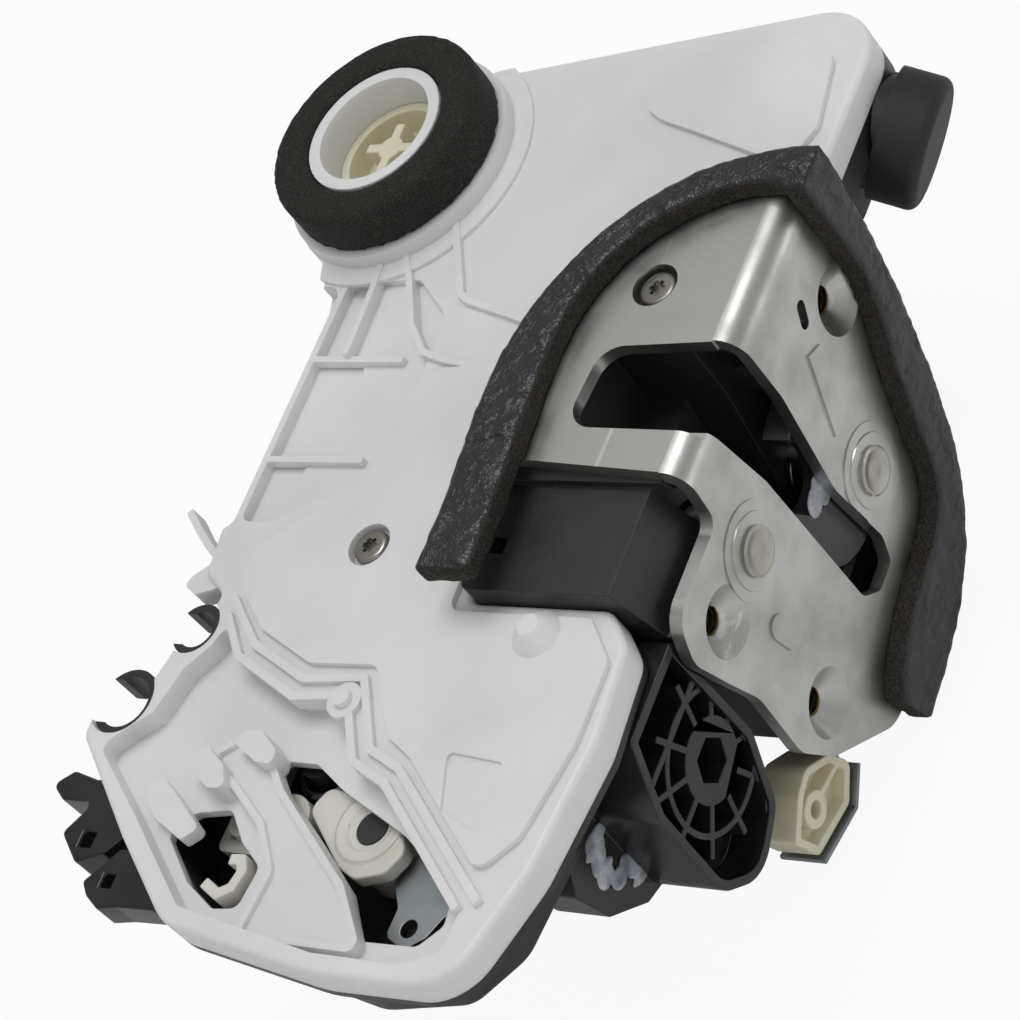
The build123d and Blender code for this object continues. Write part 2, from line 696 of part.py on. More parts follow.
with BuildPart() as rear_housing:
    with BuildSketch(Plane.XY.offset(rim_z - rim_t)):
        body_outline()
    extrude(amount=rim_t)
    with BuildSketch(Plane.XY.offset(basin_floor)):
        loop(basin_corners, basin_radii)
    extrude(amount=rim_z - basin_floor)
    fillet(rear_housing.faces().sort_by(Axis.Z)[0].edges(), basin_round)
    with BuildSketch(Plane.XY.offset(rim_z - upper_rim_t)):
        body_outline()
        with Locations((0, head_y)):
            Rectangle(far, far, align=(Align.CENTER, Align.MIN), mode=Mode.INTERSECT)
    extrude(amount=upper_rim_t)
    with BuildSketch(Plane.XY.offset(floor_z)):
        loop(basin_corners, basin_radii)
        offset(amount=-rear_wall, mode=Mode.REPLACE)
    extrude(amount=rim_z - floor_z, mode=Mode.SUBTRACT)
    with BuildSketch(Plane.XY.offset(rim_z - upper_rim_t + skin)):
        body_outline()
        offset(amount=-rear_wall, mode=Mode.REPLACE)
        with Locations((0, head_y)):
            Rectangle(far, far, align=(Align.CENTER, Align.MIN), mode=Mode.INTERSECT)
    extrude(amount=upper_rim_t, mode=Mode.SUBTRACT)
    with BuildSketch(Plane.XY.offset(floor_z)):
        with Locations(lock_pivot, inside_pivot, link_pivot, wheel_at):
            Circle(pivot_r)
        with Locations(spring_post):
            Circle(spring_post_r)
    extrude(amount=pivot_top - floor_z)
    with BuildSketch(Plane.XY.offset(floor_z)):
        with Locations(screw_at):
            Circle(screw_post_r)
        with Locations((worm_at_x, bearing_y)):
            Rectangle(bearing_l, bearing_t, align=(Align.CENTER, Align.MIN))
    extrude(amount=screw_post_top - floor_z)
    with BuildSketch(Plane.XZ.offset(-bearing_y)):
        with Locations((worm_at_x, drive_z)):
            Circle(shaft_r + pin_fit)
    extrude(amount=-bearing_t, mode=Mode.SUBTRACT)
    with BuildSketch(Plane.XY.offset(floor_z)):
        with Locations(screw_at):
            Circle(screw_hole_r)
    extrude(amount=screw_post_top - floor_z, mode=Mode.SUBTRACT)
    with BuildSketch(Plane.XY.offset(rim_z - upper_rim_t)):
        with Locations(key_at):
            Circle(key_post_r)
    extrude(amount=key_post_h)
    with BuildSketch(Plane.XY.offset(rim_z - rim_t)):
        with Locations(notch_a):
            Circle(notch_a_r + notch_wall)
        with Locations(notch_b):
            Circle(notch_b_r + notch_wall)
    extrude(amount=saddle_top - rim_z + rim_t)
    with BuildSketch(Plane.XY.offset(rim_z - rim_t)):
        with Locations(notch_a):
            Circle(notch_a_r)
            Rectangle(saddle_open, 2 * notch_a_r - 1.0, align=(Align.MAX, Align.CENTER))
        with Locations(notch_b):
            Circle(notch_b_r)
            Rectangle(saddle_open, 2 * notch_b_r - 1.5, align=(Align.MAX, Align.CENTER))
    extrude(amount=saddle_top, mode=Mode.SUBTRACT)
rear_housing.part.label = "rear_housing"
export_step(rear_housing.part, "parts/rear_housing.step")

# White cover: shallow tray with plateaus, ribs, spigot base and the open cable bay
under = top_z - skin
plateau_z = top_z + plateau_h
plateau_left = [
    (-84.5, -9.0), (-88.0, -1.5), (-79.4, 6.0), (-69.5, 13.0), (-66.3, 19.0), (-66.7, 33.0),
    (-63.5, 38.0), (-54.0, 38.6), (-38.5, 38.6), (-38.5, -10.5), (-9.0, -10.5), (-2.5, -18.0),
    (-2.5, -33.0), (-6.0, -50.0), (-11.5, -56.5), (-33.5, -38.0), (-40.0, -34.5),
    (-48.5, -21.5), (-63.0, -22.0), (-77.0, -16.0),
]
plateau_head = [
    (-42.5, 94.5), (-42.0, 103.5), (-15.0, 108.5), (-6.0, 103.5), (-3.5, 88.0), (-7.0, 80.0),
    (-27.0, 87.5), (-38.0, 91.5),
]
sunk_side = [
    (-94.2, 58.0), (-77.5, 58.0), (-68.5, 50.5), (-67.5, 42.0), (-68.5, 20.5),
    (-72.5, 14.0), (-87.0, 6.0), (-94.2, 6.0),
]
side_step = [
    (-94.2, 58.0), (-86.6, 58.0), (-86.4, 41.0), (-82.8, 40.0), (-82.7, 20.0), (-86.2, 18.5),
    (-86.0, 6.0), (-94.2, 6.0),
]
side_low = [(-110.0, 57.0), (-95.6, 57.0), (-95.6, 4.0), (-110.0, 4.0)]
side_under = [(-110.0, 58.0), (-81.0, 58.0), (-81.0, 4.0), (-110.0, 4.0)]
side_low_z = 12.3
side_step_z = 13.6
tongue = [(-96.0, -1.5), (-100.0, 1.2), (-104.3, 4.6), (-108.7, 8.5)]
tab = [(-101.5, -7.0), (-100.8, -5.0), (-97.5, -2.0), (-94.0, -3.0), (-92.0, -6.5), (-98.3, -8.7)]
rib_a = [(-76.1, 73.5), (-72.2, 66.0), (-66.0, 54.2), (-63.7, 52.7), (-52.6, 49.5), (-42.0, 46.0)]
rib_b = [(-84.0, 65.2), (-79.2, 57.3), (-74.0, 47.4), (-68.5, 41.5), (-63.5, 40.0), (-53.6, 38.1)]
rib_c = [(-88.0, 64.0), (-87.0, 55.3), (-86.4, 41.0)]
beam = [
    (-78.0, -38.5), (-73.0, -34.8), (-66.8, -36.4), (-59.3, -44.4), (-50.5, -51.1),
    (-38.6, -60.0), (-29.2, -71.5), (-57.0, -71.5), (-55.6, -59.5), (-61.5, -51.5),
    (-70.5, -45.2), (-77.0, -41.5),
]
hole_left = [
    (-82.9, -53.3), (-78.3, -49.1), (-70.9, -47.9), (-65.7, -53.6), (-59.8, -57.7),
    (-60.8, -65.4), (-66.0, -66.0), (-73.7, -61.9),
]
hole_right = [
    (-66.0, -38.0), (-57.0, -38.0), (-49.5, -42.2), (-33.0, -49.1), (-26.0, -53.5),
    (-18.5, -59.0), (-17.9, -64.0), (-21.5, -68.0), (-33.0, -68.3), (-39.0, -60.0),
    (-50.0, -51.5), (-59.0, -44.9), (-64.5, -41.6),
]
knob_left = [(-81.2, -42.0), (-80.6, -40.4), (-77.7, -38.8), (-72.5, -42.0), (-70.0, -46.5),
             (-74.0, -46.5)]
knob_right = [(-72.4, -37.7), (-71.0, -35.2), (-67.5, -35.0), (-62.6, -38.4), (-62.0, -41.2),
              (-66.0, -40.9)]
knob_top = 16.6
beam_lip = 1.3
beam_sink = 1.0
sunk_depth = 1.5
bay_top = rim_z + bay_skin
beam_top = 14.5
pad_corners = [(-26.6, -36.3), (-14.8, -37.4), (-13.7, -50.5), (-23.1, -46.8)]
bay_edge = [(p[0], p[1]) for p in bay_corners[:7]]
dome_at = (-18.5, -14.0)
peg_at = (-52.1, -28.5)
screw_seat_r = 4.2
finger = [(-90.0, -47.0), (-86.5, -44.5), (-83.0, -46.6), (-73.8, -53.0), (-76.7, -55.6),
          (-84.6, -52.0)]
cross_ribs = [[(-94.4, 40.8), (-73.5, 40.7)], [(-94.4, 19.2), (-72.5, 19.4)]]
cover_round = 1.2
bay_round = 2.0
edge_rib_w, thin_rib_w = 1.5, 1.3
tongue_w, cross_w = 1.4, 1.2
pad_depth = 0.6
dome_r, dome_h, dome_slope = 4.5, 3.0, 40
peg_seat_r, peg_r, peg_h = 3.4, 1.7, 1.2
seat_wall, seat_depth, seat_drop = 1.5, 2.2, 2.0
with BuildPart() as actuator_cover:
    with BuildSketch(Plane.XY.offset(rim_z)):
        body_outline()
    extrude(amount=top_z - rim_z)
    fillet(actuator_cover.faces().sort_by(Axis.Z)[-1].edges(), cover_round)
    with BuildSketch(Plane.XY.offset(rim_z)):
        body_outline()
        offset(amount=-cover_wall, mode=Mode.REPLACE)
    extrude(amount=under - rim_z, mode=Mode.SUBTRACT)
    with BuildSketch(Plane.XY.offset(rim_z)):
        loop(bay_corners, bay_round)
        offset(amount=cover_wall, mode=Mode.REPLACE)
    extrude(amount=under - rim_z)
    with BuildSketch(Plane.XY.offset(under - sunk_depth)):
        loop(sunk_side, bay_round)
        offset(amount=cover_wall, mode=Mode.REPLACE)
    extrude(amount=sunk_depth)
    with BuildSketch(Plane.XY.offset(rim_z + soft_gap)):
        body_outline()
        loop(side_under, bay_round, Mode.INTERSECT)
    extrude(amount=under - rim_z - soft_gap)
    with BuildSketch(Plane.XY.offset(top_z - sunk_depth)):
        loop(sunk_side, bay_round)
    extrude(amount=skin, mode=Mode.SUBTRACT)
    with BuildSketch(Plane.XY.offset(side_step_z)):
        loop(side_step, 1.5)
    extrude(amount=skin, mode=Mode.SUBTRACT)
    with BuildSketch(Plane.XY.offset(side_low_z)):
        loop(side_low, 3.0)
    extrude(amount=top_z, mode=Mode.SUBTRACT)
    with BuildSketch(Plane.XY.offset(rim_z + side_low_z - side_step_z + skin)):
        strip(tongue, tongue_w)
        loop(tab, 1.0)
    extrude(amount=top_z - rim_z - skin)
    with BuildSketch(Plane.XY.offset(bay_top)):
        loop(bay_corners, bay_round)
    extrude(amount=top_z, mode=Mode.SUBTRACT)
    with BuildSketch(Plane.XY.offset(rim_z)):
        loop(beam, 1.8)
    extrude(amount=beam_top - rim_z)
    with BuildSketch(Plane.XY.offset(beam_top)):
        loop(beam, 1.8)
        offset(amount=-beam_lip, mode=Mode.REPLACE)
    extrude(amount=-beam_sink, mode=Mode.SUBTRACT)
    with BuildSketch(Plane.XY.offset(bay_top)):
        loop(knob_left, 1.2)
        loop(knob_right, 1.2)
    extrude(amount=knob_top - bay_top)
    with BuildSketch(Plane.XY.offset(rim_z)):
        loop(finger, 1.0)
    extrude(amount=beam_top - rim_z)
    with BuildSketch(Plane.XY.offset(rim_z)):
        loop(hole_left, 2.0)
        loop(hole_right, 2.0)
    extrude(amount=bay_skin, mode=Mode.SUBTRACT)
    with BuildSketch(Plane.XY.offset(under)):
        loop(plateau_left, 2.5)
        loop(plateau_head, 4.0)
    extrude(amount=plateau_z - under)
    with BuildSketch(Plane.XY.offset(under)):
        strip(panel_edge, edge_rib_w)
        strip(bay_edge, edge_rib_w)
    extrude(amount=plateau_z - under)
    with BuildSketch(Plane.XY.offset(under)):
        for cross_rib in cross_ribs:
            strip(cross_rib, cross_w)
    extrude(amount=top_z - under)
    with BuildSketch(Plane.XY.offset(under)):
        strip(rib_a, tongue_w)
        strip(rib_b, thin_rib_w)
        strip(rib_c, thin_rib_w)
    extrude(amount=plateau_z - under)
    with BuildSketch(Plane.XY.offset(plateau_z)):
        loop(pad_corners, 1.0)
    extrude(amount=-pad_depth, mode=Mode.SUBTRACT)
    with BuildSketch(Plane.XY.offset(plateau_z)):
        with Locations(dome_at):
            Circle(dome_r)
    extrude(amount=dome_h, taper=dome_slope)
    with BuildSketch(Plane.XY.offset(under)):
        with Locations(peg_at):
            Circle(peg_seat_r)
    extrude(amount=plateau_z - under)
    with BuildSketch(Plane.XY.offset(plateau_z)):
        with Locations(peg_at):
            Circle(peg_r)
    extrude(amount=peg_h)
    with BuildSketch(Plane.XY.offset(under - seat_drop)):
        with Locations(screw_at):
            Circle(screw_seat_r + seat_wall)
    extrude(amount=2 * seat_wall)
    with BuildSketch(Plane.XY.offset(plateau_z)):
        with Locations(screw_at):
            Circle(screw_seat_r)
    extrude(amount=-seat_depth, mode=Mode.SUBTRACT)
    with BuildSketch(Plane.XY.offset(top_z)):
        body_outline()
        with Locations(key_at):
            Circle(ring_base_r + ring_step, mode=Mode.INTERSECT)
    extrude(amount=ring_step_h)
    with BuildSketch(Plane.XY.offset(top_z)):
        with Locations(key_at):
            Circle(ring_base_r - soft_gap)
    extrude(amount=ring_base_z - top_z)
    with BuildSketch(Plane.XY.offset(snap_z)):
        with Locations((snap_at[0] + snap_w / 2 - 0.1, snap_at[1])):
            Rectangle(snap_reach - seat_drop, snap_w, align=(Align.MAX, Align.CENTER))
    extrude(amount=snap_t)
    with BuildSketch(Plane.XY.offset(under - seat_drop)):
        with Locations(key_at):
            Circle(spigot_r)
    extrude(amount=spigot_top - under + seat_drop)
    with BuildSketch(Plane.XY.offset(rim_z)):
        with Locations(key_at):
            Circle(spigot_r - spigot_wall)
        with Locations(notch_a):
            Circle(notch_a_r + notch_wall + soft_gap)
        with Locations(notch_b):
            Circle(notch_b_r + notch_wall + soft_gap)
        with Locations(screw_at):
            Circle(screw_hole_r)
    extrude(amount=spigot_top, mode=Mode.SUBTRACT)
actuator_cover.part.label = "actuator_cover"
export_step(actuator_cover.part, "parts/actuator_cover.step")

# Foam ring round the key spigot
with BuildPart() as foam_ring:
    with BuildSketch(Plane.XY.offset(ring_base_z)):
        with Locations(key_at):
            Circle(foam_ring_r)
            Circle(spigot_r + soft_gap / 2, mode=Mode.SUBTRACT)
    extrude(amount=foam_ring_t)
foam_ring.part.label = "foam_ring"
export_step(foam_ring.part, "parts/foam_ring.step")

# Key coupling: turning disc with claws for the lock cylinder's shaft and a crank below
turn_fit = 0.05
coupling_r = spigot_r - spigot_wall - turn_fit
coupling_low = 12.0
coupling_top = 21.0
coupling_wall, coupling_cup = 1.8, 5.5
star_l, star_w, star_r, star_h = 11.0, 2.0, 2.6, 7.0
crank_z, crank_r, crank_w, crank_l = 8.6, 7.0, 6.0, 15.0
with BuildPart() as key_coupling:
    with BuildSketch(Plane.XY.offset(coupling_low)):
        with Locations(key_at):
            Circle(coupling_r)
    extrude(amount=coupling_top - coupling_low)
    with BuildSketch(Plane.XY.offset(coupling_top)):
        with Locations(key_at):
            Circle(coupling_r - coupling_wall)
    extrude(amount=-coupling_cup, mode=Mode.SUBTRACT)
    with BuildSketch(Plane.XY.offset(coupling_top - coupling_cup)):
        with Locations(key_at):
            Rectangle(star_l, star_w)
            Rectangle(star_w, star_l)
            Circle(star_r)
    extrude(amount=star_h)
    with BuildSketch(Plane.XY.offset(crank_z)):
        with Locations(key_at):
            Circle(crank_r)
            Rectangle(crank_w, crank_l, align=(Align.CENTER, Align.MAX))
    extrude(amount=coupling_low - crank_z)
    with BuildSketch(Plane.XY.offset(crank_z)):
        with Locations(key_at):
            Circle(key_post_r + pin_fit)
    extrude(amount=rim_z - upper_rim_t + key_post_h - crank_z + 0.2, mode=Mode.SUBTRACT)
key_coupling.part.label = "key_coupling"
export_step(key_coupling.part, "parts/key_coupling.step")

# Screw that holds the cover to the rear housing
with BuildPart() as cover_screw:
    with BuildSketch(Plane.XY.offset(plateau_z - 2.2)):
        with Locations(screw_at):
            Circle(3.4)
    extrude(amount=2.0)
    fillet(cover_screw.faces().sort_by(Axis.Z)[-1].edges(), 0.8)
    with BuildSketch(Plane.XY.offset(plateau_z - 0.2)):
        with Locations(screw_at):
            RegularPolygon(1.4, 6)
    extrude(amount=-1.2, mode=Mode.SUBTRACT)
    with BuildSketch(Plane.XY.offset(plateau_z - 2.2)):
        with Locations(screw_at):
            Circle(1.5)
    extrude(amount=-13.0)
cover_screw.part.label = "cover_screw"
export_step(cover_screw.part, "parts/cover_screw.step")

# Worm wheel with its pinion, on the housing post
wheel_low = drive_z - wheel_t / 2
tooth_w = 1.0
with BuildPart() as worm_wheel:
    with BuildSketch(Plane.XY.offset(wheel_low)):
        with Locations(wheel_at):
            Circle(wheel_r - 1.1)
            with PolarLocations(0, worm_teeth):
                with Locations((wheel_r - 0.4, 0)):
                    Rectangle(2.0, tooth_w)
    extrude(amount=wheel_t)
    with BuildSketch(Plane.XY.offset(-1.0)):
        with Locations(wheel_at):
            Circle(rack_pinion_r - 1.0)
            with PolarLocations(0, 12):
                with Locations((rack_pinion_r - 0.2, 0)):
                    Rectangle(2.0, 1.1)
    extrude(amount=wheel_low + 1.0)
    with BuildSketch(Plane.XY.offset(-1.0)):
        with Locations(wheel_at):
            Circle(pivot_r + pin_fit)
    extrude(amount=20, mode=Mode.SUBTRACT)
    with BuildSketch(Plane.XY.offset(wheel_low + wheel_t)):
        with Locations(wheel_at):
            Circle(11.0)
            Circle(5.5, mode=Mode.SUBTRACT)
    extrude(amount=-1.2, mode=Mode.SUBTRACT)
worm_wheel.part.label = "worm_wheel"
export_step(worm_wheel.part, "parts/worm_wheel.step")

# Worm on the motor shaft
thread_turns = 5
worm_frame = Plane(origin=(worm_at_x, wheel_at[1] - (thread_turns / 2) * worm_pitch, drive_z),
                   x_dir=(-1, 0, 0), z_dir=(0, 1, 0))
coil = Helix(pitch=worm_pitch, height=worm_pitch * thread_turns, radius=worm_core_r)
profile = Plane(origin=coil @ 0, x_dir=(1, 0, 0), z_dir=coil % 0) * Polygon(
    (-0.3, -0.6), (1.7, -0.35), (1.7, 0.35), (-0.3, 0.6), align=None)
thread = sweep(profile, path=coil, is_frenet=True)
with BuildPart() as worm:
    with BuildSketch(worm_frame.offset(-2.5)):
        Circle(worm_core_r)
    extrude(amount=worm_pitch * thread_turns + 5.0)
    with BuildSketch(worm_frame.offset(-5.5)):
        Circle(shaft_r)
    extrude(amount=motor_y + 4.0 - wheel_at[1] + worm_pitch * thread_turns / 2 + 5.5)
    add(worm_frame.location * thread)
worm.part.label = "worm"
export_step(worm.part, "parts/worm.step")

# Motor can with flats above and below
motor_frame = Plane(origin=(worm_at_x, motor_y, drive_z), x_dir=(-1, 0, 0), z_dir=(0, 1, 0))
with BuildPart() as motor:
    with BuildSketch(motor_frame):
        Circle(motor_r)
        Rectangle(2 * motor_r, 2 * motor_half, mode=Mode.INTERSECT)
    extrude(amount=motor_len)
    fillet(motor.faces().sort_by(Axis.Y)[-1].edges(), 1.0)
    with BuildSketch(motor_frame):
        Circle(3.0)
    extrude(amount=-1.2)
    with BuildSketch(motor_frame.offset(-1.2)):
        Circle(shaft_r + pin_fit)
    extrude(amount=6.5, mode=Mode.SUBTRACT)
motor.part.label = "motor"
export_step(motor.part, "parts/motor.step")

# Lock slider: rack beside the pinion, slot for the lock lever's pin
rack_x = wheel_at[0] - rack_pinion_r
slider_low = -0.8
slider_t = 3.6
rack_pitch = pi
slider_pin_r = 2.0
slot_fit = 0.1
with BuildPart() as lock_slider:
    with BuildSketch(Plane.XY.offset(slider_low)):
        with Locations(((rack_x - 1.0), wheel_at[1] - 7.0)):
            Rectangle(3.0, 30.0, align=(Align.MAX, Align.CENTER))
        with GridLocations(0, rack_pitch, 1, 6):
            with Locations((rack_x - 0.3, wheel_at[1])):
                Rectangle(2.0, 1.1)
        strip([(rack_x - 2.5, wheel_at[1] - 20.0), (rack_x - 2.5, lock_pivot[1] + 4.0)], 3.0)
        with Locations((slide_x, lock_pivot[1])):
            RectangleRounded(10.0, 9.0, 1.5)
    extrude(amount=slider_t)
    with BuildSketch(Plane.XY.offset(slider_low)):
        with Locations((slide_x, lock_pivot[1])):
            Rectangle(6.4, 2 * (slider_pin_r + slot_fit))
    extrude(amount=slider_t, mode=Mode.SUBTRACT)
lock_slider.part.label = "lock_slider"
export_step(lock_slider.part, "parts/lock_slider.step")

# Lock lever: hub on its post, arm with the slider pin, upright hook in the left opening
lever_low = 3.0
lever_top = 8.2
hook_run = [(-66.0, -57.2), (-63.6, -57.0), (-62.4, -59.0), (-63.2, -62.2), (-65.6, -63.6),
            (-69.4, -61.8)]
hook_w = 2.0
hook_top = 12.8
with BuildPart() as lock_lever:
    with BuildSketch(Plane.XY.offset(lever_low)):
        with Locations(lock_pivot):
            Circle(5.0)
    extrude(amount=lever_top - lever_low)
    with BuildSketch(Plane.XY.offset(lever_low)):
        strip([lock_pivot, (slide_x, lock_pivot[1])], 5.0)
        with Locations((slide_x, lock_pivot[1])):
            Circle(2.5)
        strip([lock_pivot, hook_run[1]], 4.0)
        strip(hook_run, hook_w)
    extrude(amount=2.4)
    with BuildSketch(Plane.XY.offset(lever_low)):
        strip(hook_run, hook_w)
    extrude(amount=hook_top - lever_low)
    with BuildSketch(Plane.XY.offset(lever_low)):
        with Locations((slide_x, lock_pivot[1])):
            Circle(slider_pin_r)
    extrude(amount=-3.4)
    with BuildSketch(Plane.XY.offset(lever_low)):
        with Locations(lock_pivot):
            Circle(pivot_r + pin_fit)
    extrude(amount=10, mode=Mode.SUBTRACT)
lock_lever.part.label = "lock_lever"
export_step(lock_lever.part, "parts/lock_lever.step")

# Inside release lever: tall hub in a broad lobe that lies over the link lever
lever_lobe = [
    (-57.5, -45.0), (-55.0, -40.5), (-44.6, -42.0), (-36.0, -47.5), (-34.0, -51.0),
    (-36.5, -55.0), (-42.2, -56.6), (-46.4, -54.8),
]
with BuildPart() as inside_lever:
    with BuildSketch(Plane.XY.offset(-3.0)):
        with Locations(inside_pivot):
            Circle(7.0)
    extrude(amount=12.4)
    fillet(inside_lever.faces().sort_by(Axis.Z)[-1].edges(), 0.8)
    with BuildSketch(Plane.XY.offset(6.0)):
        loop(lever_lobe, 2.5)
    extrude(amount=3.0)
    with BuildSketch(Plane.XY.offset(-3.0)):
        with Locations(inside_pivot):
            Circle(pivot_r + pin_fit)
    extrude(amount=20, mode=Mode.SUBTRACT)
    with BuildSketch(Plane.XY.offset(pivot_top)):
        with Locations(inside_pivot):
            Circle(4.6)
    extrude(amount=2, mode=Mode.SUBTRACT)
inside_lever.part.label = "inside_lever"
export_step(inside_lever.part, "parts/inside_lever.step")

# Link lever: flat zinc-plated steel with an eye for the release rod
link_corners = [
    (-35.2, -50.0), (-31.0, -47.0), (-24.0, -45.5), (-18.0, -49.5), (-18.0, -56.5),
    (-24.5, -59.5), (-26.5, -63.5), (-30.0, -66.0), (-34.6, -64.0), (-34.4, -58.9),
    (-37.2, -54.5),
]
link_eye = (-30.5, -62.2)
with BuildPart() as link_lever:
    with BuildSketch(Plane.XY.offset(lever_low)):
        loop(link_corners, 1.5)
        with Locations(link_pivot):
            Circle(pivot_r + pin_fit, mode=Mode.SUBTRACT)
        with Locations(link_eye):
            Circle(1.6, mode=Mode.SUBTRACT)
    extrude(amount=2.0)
link_lever.part.label = "link_lever"
export_step(link_lever.part, "parts/link_lever.step")

# Coil spring round its post beside the levers
lever_coil = coil_spring((*spring_post, 0.0), 5.8, 1.9, 3.5, 0.7, True)
with BuildPart() as lever_spring:
    add(lever_coil)
lever_spring.part.label = "lever_spring"
export_step(lever_spring.part, "parts/lever_spring.step")

# Ribbed housing for the outside handle mechanism, below the case
mech_back, mech_front = -24.0, 0.5
mech_outline = [
    (-8.6, 8.0), (-8.6, -20.0), (-15.0, -33.5), (-27.0, -37.5), (-35.0, -28.0),
    (-34.0, -6.0), (-27.5, 8.0),
]
mech_radii = [1.0, 3.0, 5.0, 8.0, 8.0, 6.0, 1.0]
mech_hub = (-18.0, -14.0)
mech_lobe = [
    (-32.0, basin_floor), (-44.0, basin_floor), (-47.0, -10.0), (-45.0, -20.0), (-38.0, -28.0),
    (-30.0, -31.0),
]
lobe_front = -13.0
handle_at = (-18.5, -26.5)
handle_x = -12.0
handle_t = 2.5
handle_pin_r = 2.5
mech_pocket = 7.0
with BuildPart() as mechanism_housing:
    with BuildSketch(yz(mech_back)):
        loop(mech_outline, mech_radii)
    extrude(amount=mech_front - mech_back)
    with BuildSketch(yz(mech_back)):
        loop(mech_lobe, 1.0)
    extrude(amount=lobe_front - mech_back)
    with BuildSketch(yz(mech_front)):
        loop(mech_outline, mech_radii)
        offset(amount=-1.8, mode=Mode.REPLACE)
    extrude(amount=-mech_pocket, mode=Mode.SUBTRACT)
    with BuildSketch(yz(mech_front - mech_pocket)):
        with Locations(mech_hub):
            Circle(7.5)
            with PolarLocations(0, 10):
                with Locations((11.5, 0)):
                    Rectangle(9.5, 1.2)
        with BuildSketch(mode=Mode.PRIVATE) as ring_rib:
            with Locations(mech_hub):
                Circle(13.0)
                Circle(11.8, mode=Mode.SUBTRACT)
        add(ring_rib.sketch)
        strip([(-9.0, -2.0), (-33.0, -2.0)], 1.4)
        strip([(-14.0, -30.0), (-25.0, -40.0)], 1.4)
        loop(mech_outline, mech_radii, Mode.INTERSECT)
        with Locations(mech_hub):
            RegularPolygon(4.2, 6, mode=Mode.SUBTRACT)
    extrude(amount=mech_pocket - 0.8)
    with BuildSketch(yz(handle_x - 0.6)):
        with Locations((handle_at[0] - 7.5, -60.0)):
            Rectangle(20.0, 60.0 + handle_at[1] + 7.5, align=(Align.MIN, Align.MIN))
    extrude(amount=handle_t + 1.2, mode=Mode.SUBTRACT)
    with BuildSketch(yz(handle_x - 7.0)):
        with Locations(handle_at):
            Circle(handle_pin_r + pin_fit)
    extrude(amount=14.0, mode=Mode.SUBTRACT)
mechanism_housing.part.label = "mechanism_housing"
export_step(mechanism_housing.part, "parts/mechanism_housing.step")

# Outside handle lever on its pin, with the rod clip and its metal leaf
clip_front = -1.0
with BuildPart() as handle_pin:
    with BuildSketch(yz(handle_x - 7.0)):
        with Locations(handle_at):
            Circle(handle_pin_r)
    extrude(amount=14.0)
handle_pin.part.label = "handle_pin"
export_step(handle_pin.part, "parts/handle_pin.step")

with BuildPart() as handle_lever:
    with BuildSketch(yz(handle_x)):
        with Locations(handle_at):
            Circle(5.5)
        strip([handle_at, (-8.5, -48.0)], 7.0)
        with Locations((-8.5, -48.0)):
            Circle(3.5)
        with Locations(handle_at):
            Circle(handle_pin_r + pin_fit, mode=Mode.SUBTRACT)
    extrude(amount=handle_t)
handle_lever.part.label = "handle_lever"
export_step(handle_lever.part, "parts/handle_lever.step")

clip_corners = [
    (-17.0, -44.5), (-10.0, -40.5), (-5.0, -39.5), (1.0, -44.5), (3.0, -51.0), (-3.0, -55.0),
    (-15.0, -52.0),
]
with BuildPart() as rod_clip:
    with BuildSketch(yz(handle_x + handle_t)):
        loop(clip_corners, [1.0, 2.0, 3.0, 3.0, 2.0, 2.0, 1.5])
        with Locations((-9.0, -46.5)):
            Circle(1.6, mode=Mode.SUBTRACT)
    extrude(amount=clip_front - handle_x - handle_t)
    with BuildSketch(yz(clip_front)):
        loop(clip_corners, [1.0, 2.0, 3.0, 3.0, 2.0, 2.0, 1.5])
        offset(amount=-1.6, mode=Mode.REPLACE)
    extrude(amount=-3.0, mode=Mode.SUBTRACT)
    with BuildSketch(yz(clip_front - 3.0)):
        with Locations((-9.0, -46.5)):
            Circle(3.4)
            Circle(1.6, mode=Mode.SUBTRACT)
        strip([(-5.8, -46.5), (2.0, -48.0)], 1.2)
    extrude(amount=3.0)
rod_clip.part.label = "rod_clip"
export_step(rod_clip.part, "parts/rod_clip.step")

with BuildPart() as clip_leaf:
    with BuildSketch(yz(handle_x + handle_t)):
        strip([(-15.5, -53.1), (-3.0, -56.2), (3.6, -52.4)], 0.8)
    extrude(amount=clip_front - handle_x - handle_t + 0.8)
clip_leaf.part.label = "clip_leaf"
export_step(clip_leaf.part, "parts/clip_leaf.step")

# Connector under the head: socket with its block, rubber boot, contact pins
plug_tilt = 30.0
plug_y = 100.0
plug_frame = Plane(origin=(-12.5, plug_y, 5.5), x_dir=(0, 1, 0),
                   z_dir=(cos(radians(plug_tilt)), 0, -sin(radians(plug_tilt))))
socket_r, socket_wall = 10.5, 2.0
socket_start, socket_end = 5.5, 17.8
boot_start, boot_end = 11.0, 20.0
boot_r = 12.0
contact_pitch, contact_w, contact_drop = 3.5, 0.8, 2.2
block_x, block_l, block_w, block_h = -18.2, 16.0, 22.0, 17.0
head_under = rim_z - upper_rim_t
with BuildPart() as connector_socket:
    with BuildSketch(Plane.XY.offset(head_under)):
        with Locations((block_x, plug_y)):
            RectangleRounded(block_l, block_w, 2.0)
    extrude(amount=-block_h)
    with BuildSketch(plug_frame):
        Circle(socket_r)
    extrude(amount=socket_end)
    with BuildSketch(plug_frame.offset(socket_start - 2.0)):
        Circle(socket_r - socket_wall)
    extrude(amount=socket_end, mode=Mode.SUBTRACT)
    with BuildSketch(Plane.XY.offset(head_under)):
        with Locations((soft_gap, 0)):
            Rectangle(100, 300, align=(Align.MAX, Align.CENTER))
    extrude(amount=20.0, mode=Mode.SUBTRACT)
connector_socket.part.label = "connector_socket"
export_step(connector_socket.part, "parts/connector_socket.step")

